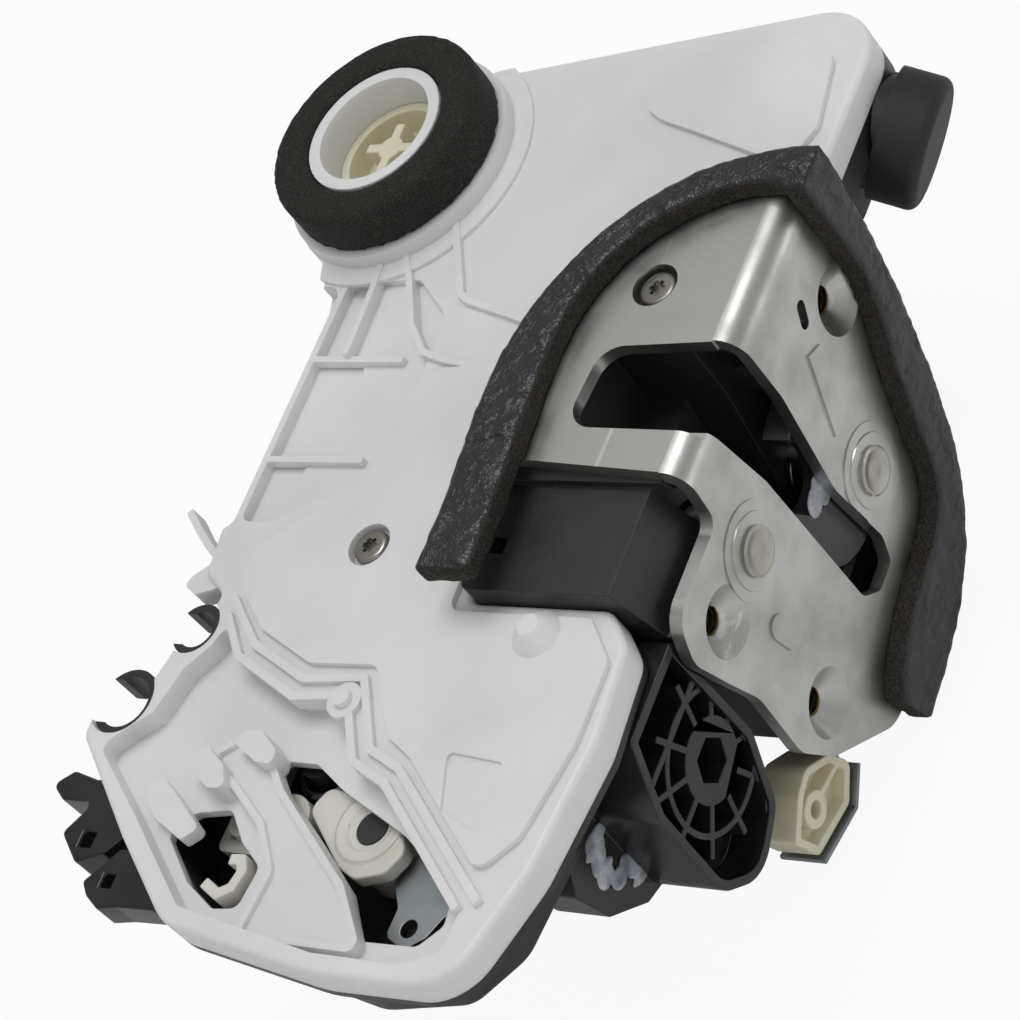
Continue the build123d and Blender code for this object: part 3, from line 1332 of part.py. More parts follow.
with BuildPart() as connector_boot:
    with BuildSketch(plug_frame.offset(boot_start)):
        Circle(boot_r)
    extrude(amount=boot_end - boot_start)
    fillet(connector_boot.faces().sort_by(Axis.X)[-1].edges(), 2.0)
    with BuildSketch(plug_frame.offset(boot_start)):
        Circle(socket_r + soft_gap)
    extrude(amount=boot_end - boot_start - 1.8, mode=Mode.SUBTRACT)
connector_boot.part.label = "connector_boot"
export_step(connector_boot.part, "parts/connector_boot.step")

with BuildPart() as contact_pins:
    with BuildSketch(plug_frame.offset(socket_start - 2.0)):
        with Locations((0, -contact_drop)):
            with GridLocations(contact_pitch, contact_pitch, 3, 2):
                Rectangle(contact_w, contact_w)
    extrude(amount=10.0)
contact_pins.part.label = "contact_pins"
export_step(contact_pins.part, "parts/contact_pins.step")

# Cable clips: open hooks on the lower left wall
clip_low = 2.4
clip_h = rim_z - rim_t - clip_low
upper_clip = [
    (-107.9, -43.1), (-114.1, -41.8), (-118.0, -44.9), (-114.2, -47.6), (-106.4, -47.5),
    (-110.6, -53.9), (-104.6, -59.2), (-98.9, -56.9), (-92.0, -49.0), (-95.0, -44.0),
    (-101.0, -41.5),
]
lower_clip = [
    (-92.4, -55.7), (-95.3, -55.6), (-98.6, -60.0), (-100.8, -62.5), (-98.6, -65.0),
    (-95.0, -67.1), (-90.5, -66.4), (-82.2, -66.1), (-79.0, -63.0), (-84.0, -57.5),
]
with BuildPart() as cable_clip_upper:
    with BuildSketch(Plane.XY.offset(clip_low)):
        loop(upper_clip, 1.2)
        with Locations((-104.0, -54.6)):
            Rectangle(3.0, 3.0, mode=Mode.SUBTRACT)
        loop(basin_corners, basin_radii, Mode.SUBTRACT)
    extrude(amount=clip_h)
cable_clip_upper.part.label = "cable_clip_upper"
export_step(cable_clip_upper.part, "parts/cable_clip_upper.step")

with BuildPart() as cable_clip_lower:
    with BuildSketch(Plane.XY.offset(clip_low)):
        loop(lower_clip, 1.0)
        with Locations((-95.1, -61.8)):
            Rectangle(2.6, 2.6, mode=Mode.SUBTRACT)
        loop(basin_corners, basin_radii, Mode.SUBTRACT)
    extrude(amount=clip_h)
cable_clip_lower.part.label = "cable_clip_lower"
export_step(cable_clip_lower.part, "parts/cable_clip_lower.step")
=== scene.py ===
"""Door latch actuator of a car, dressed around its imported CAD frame.

The steel face, the white cover and the rear housing come from the frame and get their
finishes here. The black case, the levers and the clips are copies with rounded edges. The
foam with its film, the screws, the riveted heads, the threads and the grease are modelled.
"""
import json
import logging
import math
import random
from dataclasses import dataclass
from enum import Enum
from typing import Callable, Sequence

import bpy
from mathutils import Matrix, Vector

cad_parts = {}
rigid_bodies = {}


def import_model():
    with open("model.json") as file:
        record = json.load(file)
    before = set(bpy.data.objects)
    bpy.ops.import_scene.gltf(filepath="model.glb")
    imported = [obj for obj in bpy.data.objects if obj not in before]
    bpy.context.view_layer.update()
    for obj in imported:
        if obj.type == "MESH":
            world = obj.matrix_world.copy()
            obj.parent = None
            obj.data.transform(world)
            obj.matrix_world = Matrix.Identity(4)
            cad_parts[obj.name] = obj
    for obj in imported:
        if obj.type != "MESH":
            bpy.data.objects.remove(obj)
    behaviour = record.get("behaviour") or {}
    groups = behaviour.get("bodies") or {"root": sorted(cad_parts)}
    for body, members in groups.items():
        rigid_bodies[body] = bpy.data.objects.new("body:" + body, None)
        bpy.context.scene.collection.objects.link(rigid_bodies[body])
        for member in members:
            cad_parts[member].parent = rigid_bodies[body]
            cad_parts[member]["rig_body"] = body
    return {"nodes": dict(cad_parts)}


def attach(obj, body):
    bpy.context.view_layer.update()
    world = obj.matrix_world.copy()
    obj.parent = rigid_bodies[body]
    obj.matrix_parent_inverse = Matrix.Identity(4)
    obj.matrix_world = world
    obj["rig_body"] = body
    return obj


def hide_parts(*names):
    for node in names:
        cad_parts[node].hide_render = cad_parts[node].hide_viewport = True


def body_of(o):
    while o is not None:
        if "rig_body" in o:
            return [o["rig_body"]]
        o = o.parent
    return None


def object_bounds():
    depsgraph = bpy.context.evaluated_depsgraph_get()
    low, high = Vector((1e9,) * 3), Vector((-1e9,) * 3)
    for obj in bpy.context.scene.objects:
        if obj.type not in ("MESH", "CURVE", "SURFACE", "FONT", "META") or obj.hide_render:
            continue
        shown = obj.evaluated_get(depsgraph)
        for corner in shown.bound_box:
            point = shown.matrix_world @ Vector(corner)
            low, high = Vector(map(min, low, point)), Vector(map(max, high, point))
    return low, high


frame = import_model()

LOG = logging.getLogger("door_latch")
MM = 0.001
CAD_BOX = [list(corner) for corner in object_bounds()]

# Distances in metres below which points count as one, or as level with each other.
MERGE_GAP = 0.00001
WELD_GAP = 0.00002
LEVEL_GAP = 1e-6
# Least share of a face's normal along an axis for the face to look that way.
FACING = 0.99
# Places of a colour mix node's colour inputs and of its colour output.
MIX_BASE, MIX_OVER, MIX_RESULT = 6, 7, 2

Colour = tuple[float, float, float]
Point = tuple[float, float, float]


def linear(hexcode: str) -> Colour:
    """Turn a display colour such as "c9c5c0" into linear values.

    Args:
        hexcode: Six hexadecimal digits.

    Returns:
        Red, green and blue, linear, from 0 to 1.
    """
    out = []
    for i in (0, 2, 4):
        c = int(hexcode[i:i + 2], 16) / 255
        out.append(c / 12.92 if c <= 0.04045 else ((c + 0.055) / 1.055) ** 2.4)
    return (out[0], out[1], out[2])


def place(tree: bpy.types.NodeTree, kind: str, **inputs: object) -> bpy.types.Node:
    """Place a node in a tree and set its inputs.

    Args:
        tree: The node tree.
        kind: Blender's node type.
        inputs: Input values by socket name, with spaces as underscores.

    Returns:
        The node.
    """
    node = tree.nodes.new(kind)
    for key, value in inputs.items():
        node.inputs[key.replace("_", " ")].default_value = value
    return node


class Sheen(Enum):
    """How a moulded surface takes the light."""

    DULL = 0.62
    SATIN = 0.42
    GLOSSY = 0.24


class GroupKit:
    """Builds each shared shader group once and hands it out by name."""

    def __init__(self) -> None:
        """Start with no groups."""
        self.made: dict[str, bpy.types.NodeTree] = {}

    def get(self, name: str) -> bpy.types.NodeTree:
        """Return a shared group, building it at first use.

        Args:
            name: One of the group names below.

        Returns:
            The shader node tree.
        """
        if name not in self.made:
            makers: dict[str, Callable[[], bpy.types.NodeTree]] = {
                "mottle": self._mottle, "grain": self._grain, "scratches": self._scratches,
                "pores": self._pores, "creases": self._creases,
            }
            self.made[name] = makers[name]()
        return self.made[name]

    @staticmethod
    def _tree(name: str, inputs: Sequence[tuple[str, str, object]],
              outputs: Sequence[tuple[str, str]]) -> tuple[bpy.types.NodeTree, object, object]:
        """Make an empty group with its sockets.

        Args:
            name: Name of the group.
            inputs: Name, socket type and default of each input.
            outputs: Name and socket type of each output.

        Returns:
            The tree, its input node and its output node.
        """
        tree = bpy.data.node_groups.new(name, "ShaderNodeTree")
        for label, kind, default in inputs:
            socket = tree.interface.new_socket(label, in_out="INPUT", socket_type=kind)
            if default is not None:
                socket.default_value = default
        for label, kind in outputs:
            tree.interface.new_socket(label, in_out="OUTPUT", socket_type=kind)
        return tree, tree.nodes.new("NodeGroupInput"), tree.nodes.new("NodeGroupOutput")

    def _mottle(self) -> bpy.types.NodeTree:
        """Soft clouds of one colour in another, as in moulded or plated stock."""
        tree, gin, gout = self._tree(
            "Mottle",
            [("Vector", "NodeSocketVector", None), ("Scale", "NodeSocketFloat", 60.0),
             ("Low", "NodeSocketFloat", 0.4), ("High", "NodeSocketFloat", 0.65),
             ("Base", "NodeSocketColor", (0.5, 0.5, 0.5, 1)),
             ("Tint", "NodeSocketColor", (0.4, 0.4, 0.4, 1))],
            [("Color", "NodeSocketColor"), ("Mask", "NodeSocketFloat")])
        noise = place(tree, "ShaderNodeTexNoise", Detail=5.0)
        ramp = place(tree, "ShaderNodeMapRange")
        mix = place(tree, "ShaderNodeMix")
        mix.data_type = "RGBA"
        link = tree.links.new
        link(gin.outputs["Vector"], noise.inputs["Vector"])
        link(gin.outputs["Scale"], noise.inputs["Scale"])
        link(noise.outputs["Fac"], ramp.inputs["Value"])
        link(gin.outputs["Low"], ramp.inputs["From Min"])
        link(gin.outputs["High"], ramp.inputs["From Max"])
        link(ramp.outputs["Result"], mix.inputs["Factor"])
        link(gin.outputs["Base"], mix.inputs[MIX_BASE])
        link(gin.outputs["Tint"], mix.inputs[MIX_OVER])
        link(mix.outputs[MIX_RESULT], gout.inputs["Color"])
        link(ramp.outputs["Result"], gout.inputs["Mask"])
        return tree

    def _grain(self) -> bpy.types.NodeTree:
        """Two sizes of fine noise, summed, as the texture of a mould or a rolled sheet."""
        tree, gin, gout = self._tree(
            "Grain",
            [("Vector", "NodeSocketVector", None), ("Scale", "NodeSocketFloat", 900.0),
             ("Broad", "NodeSocketFloat", 0.4)],
            [("Height", "NodeSocketFloat")])
        wide_share = 0.12
        fine = place(tree, "ShaderNodeTexNoise", Detail=2.0)
        wide = place(tree, "ShaderNodeTexNoise", Detail=3.0)
        ratio = place(tree, "ShaderNodeMath")
        ratio.operation = "MULTIPLY"
        ratio.inputs[1].default_value = wide_share
        total = place(tree, "ShaderNodeMath")
        total.operation = "MULTIPLY_ADD"
        link = tree.links.new
        link(gin.outputs["Vector"], fine.inputs["Vector"])
        link(gin.outputs["Vector"], wide.inputs["Vector"])
        link(gin.outputs["Scale"], fine.inputs["Scale"])
        link(gin.outputs["Scale"], ratio.inputs[0])
        link(ratio.outputs[0], wide.inputs["Scale"])
        link(wide.outputs["Fac"], total.inputs[0])
        link(gin.outputs["Broad"], total.inputs[1])
        link(fine.outputs["Fac"], total.inputs[2])
        link(total.outputs[0], gout.inputs["Height"])
        return tree

    def _scratches(self) -> bpy.types.NodeTree:
        """Thin handling marks that run mostly one way."""
        tree, gin, gout = self._tree(
            "Scratches",
            [("Vector", "NodeSocketVector", None), ("Scale", "NodeSocketFloat", 260.0)],
            [("Mask", "NodeSocketFloat")])
        mapping = place(tree, "ShaderNodeMapping", Rotation=(0.4, 0.3, 0.7),
                        Scale=(1.0, 0.05, 1.0))
        noise = place(tree, "ShaderNodeTexNoise", Detail=3.0, Distortion=0.4)
        ramp = place(tree, "ShaderNodeMapRange", From_Min=0.66, From_Max=0.74)
        link = tree.links.new
        link(gin.outputs["Vector"], mapping.inputs["Vector"])
        link(mapping.outputs["Vector"], noise.inputs["Vector"])
        link(gin.outputs["Scale"], noise.inputs["Scale"])
        link(noise.outputs["Fac"], ramp.inputs["Value"])
        link(ramp.outputs["Result"], gout.inputs["Mask"])
        return tree

    def _pores(self) -> bpy.types.NodeTree:
        """Open cells of cut foam: paler webs between pits, the pits painted dark as shade."""
        tree, gin, gout = self._tree(
            "Pores",
            [("Vector", "NodeSocketVector", None), ("Scale", "NodeSocketFloat", 1400.0)],
            [("Web", "NodeSocketFloat"), ("Height", "NodeSocketFloat")])
        cells = place(tree, "ShaderNodeTexVoronoi")
        cells.feature = "DISTANCE_TO_EDGE"
        web = place(tree, "ShaderNodeMapRange", From_Min=0.02, From_Max=0.16, To_Min=1.0,
                    To_Max=0.0)
        speck = place(tree, "ShaderNodeTexNoise", Detail=4.0)
        total = place(tree, "ShaderNodeMath")
        total.operation = "MULTIPLY"
        link = tree.links.new
        link(gin.outputs["Vector"], cells.inputs["Vector"])
        link(gin.outputs["Scale"], cells.inputs["Scale"])
        link(gin.outputs["Vector"], speck.inputs["Vector"])
        link(gin.outputs["Scale"], speck.inputs["Scale"])
        link(cells.outputs["Distance"], web.inputs["Value"])
        link(web.outputs["Result"], total.inputs[0])
        link(speck.outputs["Fac"], total.inputs[1])
        link(total.outputs[0], gout.inputs["Web"])
        link(web.outputs["Result"], gout.inputs["Height"])
        return tree

    def _creases(self) -> bpy.types.NodeTree:
        """Crumpled film: branching folds that shine along their ridges."""
        tree, gin, gout = self._tree(
            "Creases",
            [("Vector", "NodeSocketVector", None), ("Scale", "NodeSocketFloat", 160.0)],
            [("Height", "NodeSocketFloat"), ("Ridge", "NodeSocketFloat")])
        reach = 0.016
        warp = place(tree, "ShaderNodeTexNoise", Detail=3.0)
        shift = place(tree, "ShaderNodeVectorMath")
        shift.operation = "MULTIPLY_ADD"
        shift.inputs[1].default_value = (reach, reach, reach)
        folds = place(tree, "ShaderNodeTexNoise")
        folds.noise_type = "RIDGED_MULTIFRACTAL"
        folds.normalize = True
        folds.inputs["Detail"].default_value = 4.0
        ridge = place(tree, "ShaderNodeMapRange", From_Min=0.45, From_Max=0.8)
        link = tree.links.new
        link(gin.outputs["Vector"], warp.inputs["Vector"])
        link(gin.outputs["Scale"], warp.inputs["Scale"])
        link(warp.outputs["Color"], shift.inputs[0])
        link(gin.outputs["Vector"], shift.inputs[2])
        link(shift.outputs["Vector"], folds.inputs["Vector"])
        link(gin.outputs["Scale"], folds.inputs["Scale"])
        link(folds.outputs["Fac"], ridge.inputs["Value"])
        link(folds.outputs["Fac"], gout.inputs["Height"])
        link(ridge.outputs["Result"], gout.inputs["Ridge"])
        return tree


GROUPS = GroupKit()


@dataclass
class Shader:
    """One material's tree, with the few joins that every finish makes."""

    name: str

    def __post_init__(self) -> None:
        """Make the material with its Principled shader and Object coordinates."""
        self.material = bpy.data.materials.new(self.name)
        self.material.use_nodes = True
        self.tree = self.material.node_tree
        self.bsdf = self.tree.nodes["Principled BSDF"]
        self.coords = place(self.tree, "ShaderNodeTexCoord").outputs["Object"]

    def group(self, name: str, **values: object) -> bpy.types.Node:
        """Place a shared group on Object coordinates.

        Args:
            name: Name of the shared group.
            values: Socket values by socket name, with spaces as underscores.

        Returns:
            The group's node.
        """
        node = self.tree.nodes.new("ShaderNodeGroup")
        node.node_tree = GROUPS.get(name)
        self.tree.links.new(self.coords, node.inputs["Vector"])
        for key, value in values.items():
            node.inputs[key.replace("_", " ")].default_value = value
        return node

    def link(self, source: bpy.types.NodeSocket, target: bpy.types.NodeSocket) -> None:
        """Join two sockets."""
        self.tree.links.new(source, target)

    def set(self, **values: object) -> None:
        """Set the Principled shader's inputs, with spaces in their names as underscores."""
        for key, value in values.items():
            self.bsdf.inputs[key.replace("_", " ")].default_value = value

    def blend(self, mask: bpy.types.NodeSocket, base: object,
              over: object) -> bpy.types.NodeSocket:
        """Mix two colours by a mask.

        Args:
            mask: Factor, 0 to 1.
            base: Colour or socket at 0.
            over: Colour or socket at 1.

        Returns:
            The mixed colour's socket.
        """
        mix = place(self.tree, "ShaderNodeMix")
        mix.data_type = "RGBA"
        self.link(mask, mix.inputs["Factor"])
        for slot, value in ((MIX_BASE, base), (MIX_OVER, over)):
            if isinstance(value, bpy.types.NodeSocket):
                self.link(value, mix.inputs[slot])
            else:
                mix.inputs[slot].default_value = (*value, 1)
        return mix.outputs[MIX_RESULT]

    def span(self, mask: bpy.types.NodeSocket, low: float, high: float) -> bpy.types.NodeSocket:
        """Map a mask from 0..1 to another range.

        Args:
            mask: Value from 0 to 1.
            low: Result at 0.
            high: Result at 1.

        Returns:
            The mapped value's socket.
        """
        node = place(self.tree, "ShaderNodeMapRange", To_Min=low, To_Max=high)
        self.link(mask, node.inputs["Value"])
        return node.outputs["Result"]

    def bump(self, height: bpy.types.NodeSocket, strength: float, distance: float,
             under: bpy.types.NodeSocket | None = None) -> bpy.types.NodeSocket:
        """Add a bump to the surface normal.

        Args:
            height: Height, 0 to 1.
            strength: Share of the effect.
            distance: Depth in metres.
            under: Normal that the bump adds to.

        Returns:
            The bumped normal's socket.
        """
        node = place(self.tree, "ShaderNodeBump", Strength=strength, Distance=distance)
        self.link(height, node.inputs["Height"])
        if under is not None:
            self.link(under, node.inputs["Normal"])
        self.link(node.outputs["Normal"], self.bsdf.inputs["Normal"])
        return node.outputs["Normal"]


@dataclass(frozen=True)
class MouldedPlastic:
    """Injection-moulded plastic with cloudy stock and a fine mould grain."""

    name: str
    slot: str
    base: str
    tint: str
    sheen: float = Sheen.SATIN.value
    cloud: float = 45.0
    grain: float = 1500.0
    depth: float = 0.00003
    scatter: float = 0.0
    rubbed: float = 0.12
    marks: float = 180.0
    broad: float = 1.2
    bite: float = 0.5
    scatter_colour: Colour = (0.9, 0.85, 0.8)
    scatter_depth: float = 0.003

    def make(self) -> bpy.types.Material:
        """Build the material."""
        s = Shader(self.name)
        mottle = s.group("mottle", Scale=self.cloud, Low=0.35, High=0.7,
                         Base=(*linear(self.base), 1), Tint=(*linear(self.tint), 1))
        scratches = s.group("scratches", Scale=self.marks)
        s.link(mottle.outputs["Color"], s.bsdf.inputs["Base Color"])
        rough = s.span(scratches.outputs["Mask"], self.sheen, self.sheen - self.rubbed)
        s.link(rough, s.bsdf.inputs["Roughness"])
        grain = s.group("grain", Scale=self.grain, Broad=self.broad)
        s.bump(grain.outputs["Height"], self.bite, self.depth)
        if self.scatter:
            s.set(Subsurface_Weight=self.scatter, Subsurface_Radius=self.scatter_colour,
                  Subsurface_Scale=self.scatter_depth)
        return s.material


@dataclass(frozen=True)
class SheetSteel:
    """Zinc-plated or bare steel: cloudy plating, handling scratches, rolled grain."""

    name: str
    slot: str
    base: str
    tint: str
    rough_low: float = 0.28
    rough_high: float = 0.46
    grain: float = 2200.0
    depth: float = 0.00002
    cloud: float = 110.0
    marks: float = 320.0
    bright: float = 1.25
    broad: float = 1.6
    bite: float = 0.6

    def make(self) -> bpy.types.Material:
        """Build the material."""
        s = Shader(self.name)
        mottle = s.group("mottle", Scale=self.cloud, Low=0.35, High=0.7,
                         Base=(*linear(self.base), 1), Tint=(*linear(self.tint), 1))
        scratches = s.group("scratches", Scale=self.marks)
        rubbed = s.blend(scratches.outputs["Mask"], mottle.outputs["Color"],
                         tuple(min(1.0, c * self.bright) for c in linear(self.base)))
        s.link(rubbed, s.bsdf.inputs["Base Color"])
        s.set(Metallic=1.0)
        rough = s.span(mottle.outputs["Mask"], self.rough_low, self.rough_high)
        s.link(rough, s.bsdf.inputs["Roughness"])
        grain = s.group("grain", Scale=self.grain, Broad=self.broad)
        s.bump(grain.outputs["Height"], self.bite, self.depth)
        return s.material


@dataclass(frozen=True)
class WrappedFoam:
    """Foam strip: creased black film over its faces, its fold ridges painted lighter as a
    highlight, open cells at its cut edges with painted shade in their pits.
    """

    name: str
    slot: str
    film: str = "1d1d1f"
    # Lighter colour painted on the film's fold ridges as a highlight.
    ridge_highlight: str = "3c3c40"
    pit_shade: str = "15130f"
    # Dark colour painted into the foam's cell pits as shade.
    web: str = "4a4334"
    filmed: bool = True
    cells: float = 1300.0
    folds: float = 150.0
    foam_rough: float = 0.92
    film_rough: float = 0.3
    bare_bump: tuple[float, float] = (0.7, 0.00025)
    fold_bump: tuple[float, float] = (0.85, 0.0016)
    edge_bump: tuple[float, float] = (0.35, 0.00012)

    def make(self) -> bpy.types.Material:
        """Build the material."""
        s = Shader(self.name)
        pores = s.group("pores", Scale=self.cells)
        # The pits between the webs are painted dark as shade in the cells; the webs keep the
        # foam's own brown.
        foam = s.blend(pores.outputs["Web"], linear(self.pit_shade), linear(self.web))
        if not self.filmed:
            s.link(foam, s.bsdf.inputs["Base Color"])
            s.set(Roughness=self.foam_rough)
            s.bump(pores.outputs["Height"], *self.bare_bump)
            return s.material
        creases = s.group("creases", Scale=self.folds)
        # The film's fold ridges are painted lighter: a painted highlight, not a colour of the
        # film.
        film = s.blend(creases.outputs["Ridge"], linear(self.film), linear(self.ridge_highlight))
        cut = place(s.tree, "ShaderNodeAttribute")
        cut.attribute_name = "cut_edge"
        edge = cut.outputs["Fac"]
        s.link(s.blend(edge, film, foam), s.bsdf.inputs["Base Color"])
        s.link(s.span(edge, self.film_rough, self.foam_rough), s.bsdf.inputs["Roughness"])
        folded = s.bump(creases.outputs["Height"], *self.fold_bump)
        s.bump(pores.outputs["Height"], *self.edge_bump, under=folded)
        return s.material


@dataclass(frozen=True)
class SmearedGrease:
    """Bluish white grease, half clear, with drawn-out strokes."""

    name: str
    slot: str
    base: str = "c9ced6"
    tint: str = "6f7682"
    cloud: float = 240.0
    rough: tuple[float, float] = (0.22, 0.5)
    grain: float = 700.0
    wrinkle: tuple[float, float] = (0.8, 0.0002)

    def make(self) -> bpy.types.Material:
        """Build the material."""
        s = Shader(self.name)
        mottle = s.group("mottle", Scale=self.cloud, Low=0.35, High=0.65,
                         Base=(*linear(self.base), 1), Tint=(*linear(self.tint), 1))
        s.link(mottle.outputs["Color"], s.bsdf.inputs["Base Color"])
        s.link(s.span(mottle.outputs["Mask"], *self.rough), s.bsdf.inputs["Roughness"])
        s.set(Subsurface_Weight=0.3, Subsurface_Scale=0.001)
        grain = s.group("grain", Scale=self.grain, Broad=2.0)
        s.bump(grain.outputs["Height"], *self.wrinkle)
        return s.material


COVER_WHITE = MouldedPlastic("cover_white", "cover_white", "e5e5e4", "d9d9d9", cloud=28.0,
                             grain=900.0, depth=0.00002, scatter=0.35)
LEVER_WHITE = MouldedPlastic("lever_white", "lever_white", "e3e1d8", "d2cfc4",
                             Sheen.GLOSSY.value, cloud=60.0, grain=900.0, depth=0.00002,
                             scatter=0.3)
CLIP_CREAM = MouldedPlastic("clip_cream", "clip_cream", "e0dac2", "d2caae", cloud=70.0,
                            grain=900.0, depth=0.00002, scatter=0.25)
GEAR_PLASTIC = MouldedPlastic("gear_plastic", "gear_plastic", "d4d0c2", "c4bfae")
CASE_BLACK = MouldedPlastic("case_black", "case_black", "1d1c1b", "2b2928", cloud=90.0,
                            grain=1900.0, depth=0.00005)
RIB_BLACK = MouldedPlastic("rib_black", "case_black", "161616", "242322",
                           Sheen.GLOSSY.value, cloud=120.0)
CLAW_GREY = MouldedPlastic("claw_grey", "claw_grey", "26262a", "34343a",
                           Sheen.GLOSSY.value, cloud=90.0)
RUBBER_BLACK = MouldedPlastic("rubber_black", "rubber_black", "141414", "1f1f1f",
                              Sheen.DULL.value, cloud=70.0, grain=1200.0, depth=0.00005)
ZINC_PLATE = SheetSteel("zinc_plate", "zinc_plate", "cbccc8", "b2b3ae", 0.3, 0.45)
RIVET_STEEL = SheetSteel("rivet_steel", "rivet_steel", "bdbab2", "a29e94", 0.3, 0.5)
LEVER_ZINC = SheetSteel("lever_zinc", "lever_zinc", "a9b0b2", "8f989c", 0.35, 0.55)
SPRING_STEEL = SheetSteel("spring_steel", "spring_steel", "8d8f92", "6f7175", 0.25, 0.4)
MOTOR_STEEL = SheetSteel("motor_steel", "motor_steel", "a5a6a8", "8f9092", 0.3, 0.45)
SCREW_STEEL = SheetSteel("screw_steel", "screw_steel", "a8a59d", "6e6a60", 0.25, 0.45)
THREAD_BRONZE = SheetSteel("thread_bronze", "zinc_plate", "b59a63", "8a7343", 0.25, 0.4)
CONTACT_BRASS = SheetSteel("contact_brass", "contact_brass", "b8924e", "9a7838", 0.25, 0.4)
FILM_FOAM = WrappedFoam("film_foam", "foam_black")
# The ring's bare foam, with painted shade in its cell pits.
RING_FOAM = WrappedFoam("ring_foam", "foam_black", pit_shade="141210", web="3b372f", filmed=False)
GREASE = SmearedGrease("grease", "lever_white")

NODE_FINISH: dict[str, object] = {
    "latch_plate": ZINC_PLATE, "claw_core": RIVET_STEEL, "claw_jacket": CLAW_GREY,
    "pawl": RIVET_STEEL, "claw_pin": RIVET_STEEL, "pawl_pin": RIVET_STEEL,
    "back_plate": ZINC_PLATE, "latch_case": CASE_BLACK, "claw_spring": SPRING_STEEL,
    "pawl_spring": SPRING_STEEL, "striker_bumper": RUBBER_BLACK, "claw_switch": CASE_BLACK,
    "pawl_switch": CASE_BLACK, "case_screw": SCREW_STEEL, "foam_gasket": FILM_FOAM,
    "actuator_cover": COVER_WHITE, "foam_ring": RING_FOAM, "key_coupling": CLIP_CREAM,
    "cover_screw": SCREW_STEEL, "rear_housing": CASE_BLACK, "mechanism_housing": RIB_BLACK,
    "handle_lever": LEVER_ZINC, "handle_pin": RIVET_STEEL, "rod_clip": CLIP_CREAM,
    "clip_leaf": LEVER_ZINC, "worm_wheel": GEAR_PLASTIC, "worm": CONTACT_BRASS,
    "motor": MOTOR_STEEL, "lock_slider": LEVER_WHITE, "lock_lever": LEVER_WHITE,
    "inside_lever": LEVER_WHITE, "link_lever": LEVER_ZINC, "lever_spring": SPRING_STEEL,
    "connector_socket": CASE_BLACK, "connector_boot": RUBBER_BLACK,
    "contact_pins": CONTACT_BRASS, "cable_clip_upper": RIB_BLACK,
    "cable_clip_lower": RIB_BLACK,
}


class Paint:
    """Makes each finish's material once."""

    made: dict[str, bpy.types.Material] = {}

    @classmethod
    def of(cls, finish: object) -> bpy.types.Material:
        """Return the material of a finish."""
        if finish.name not in cls.made:
            cls.made[finish.name] = finish.make()
        return cls.made[finish.name]


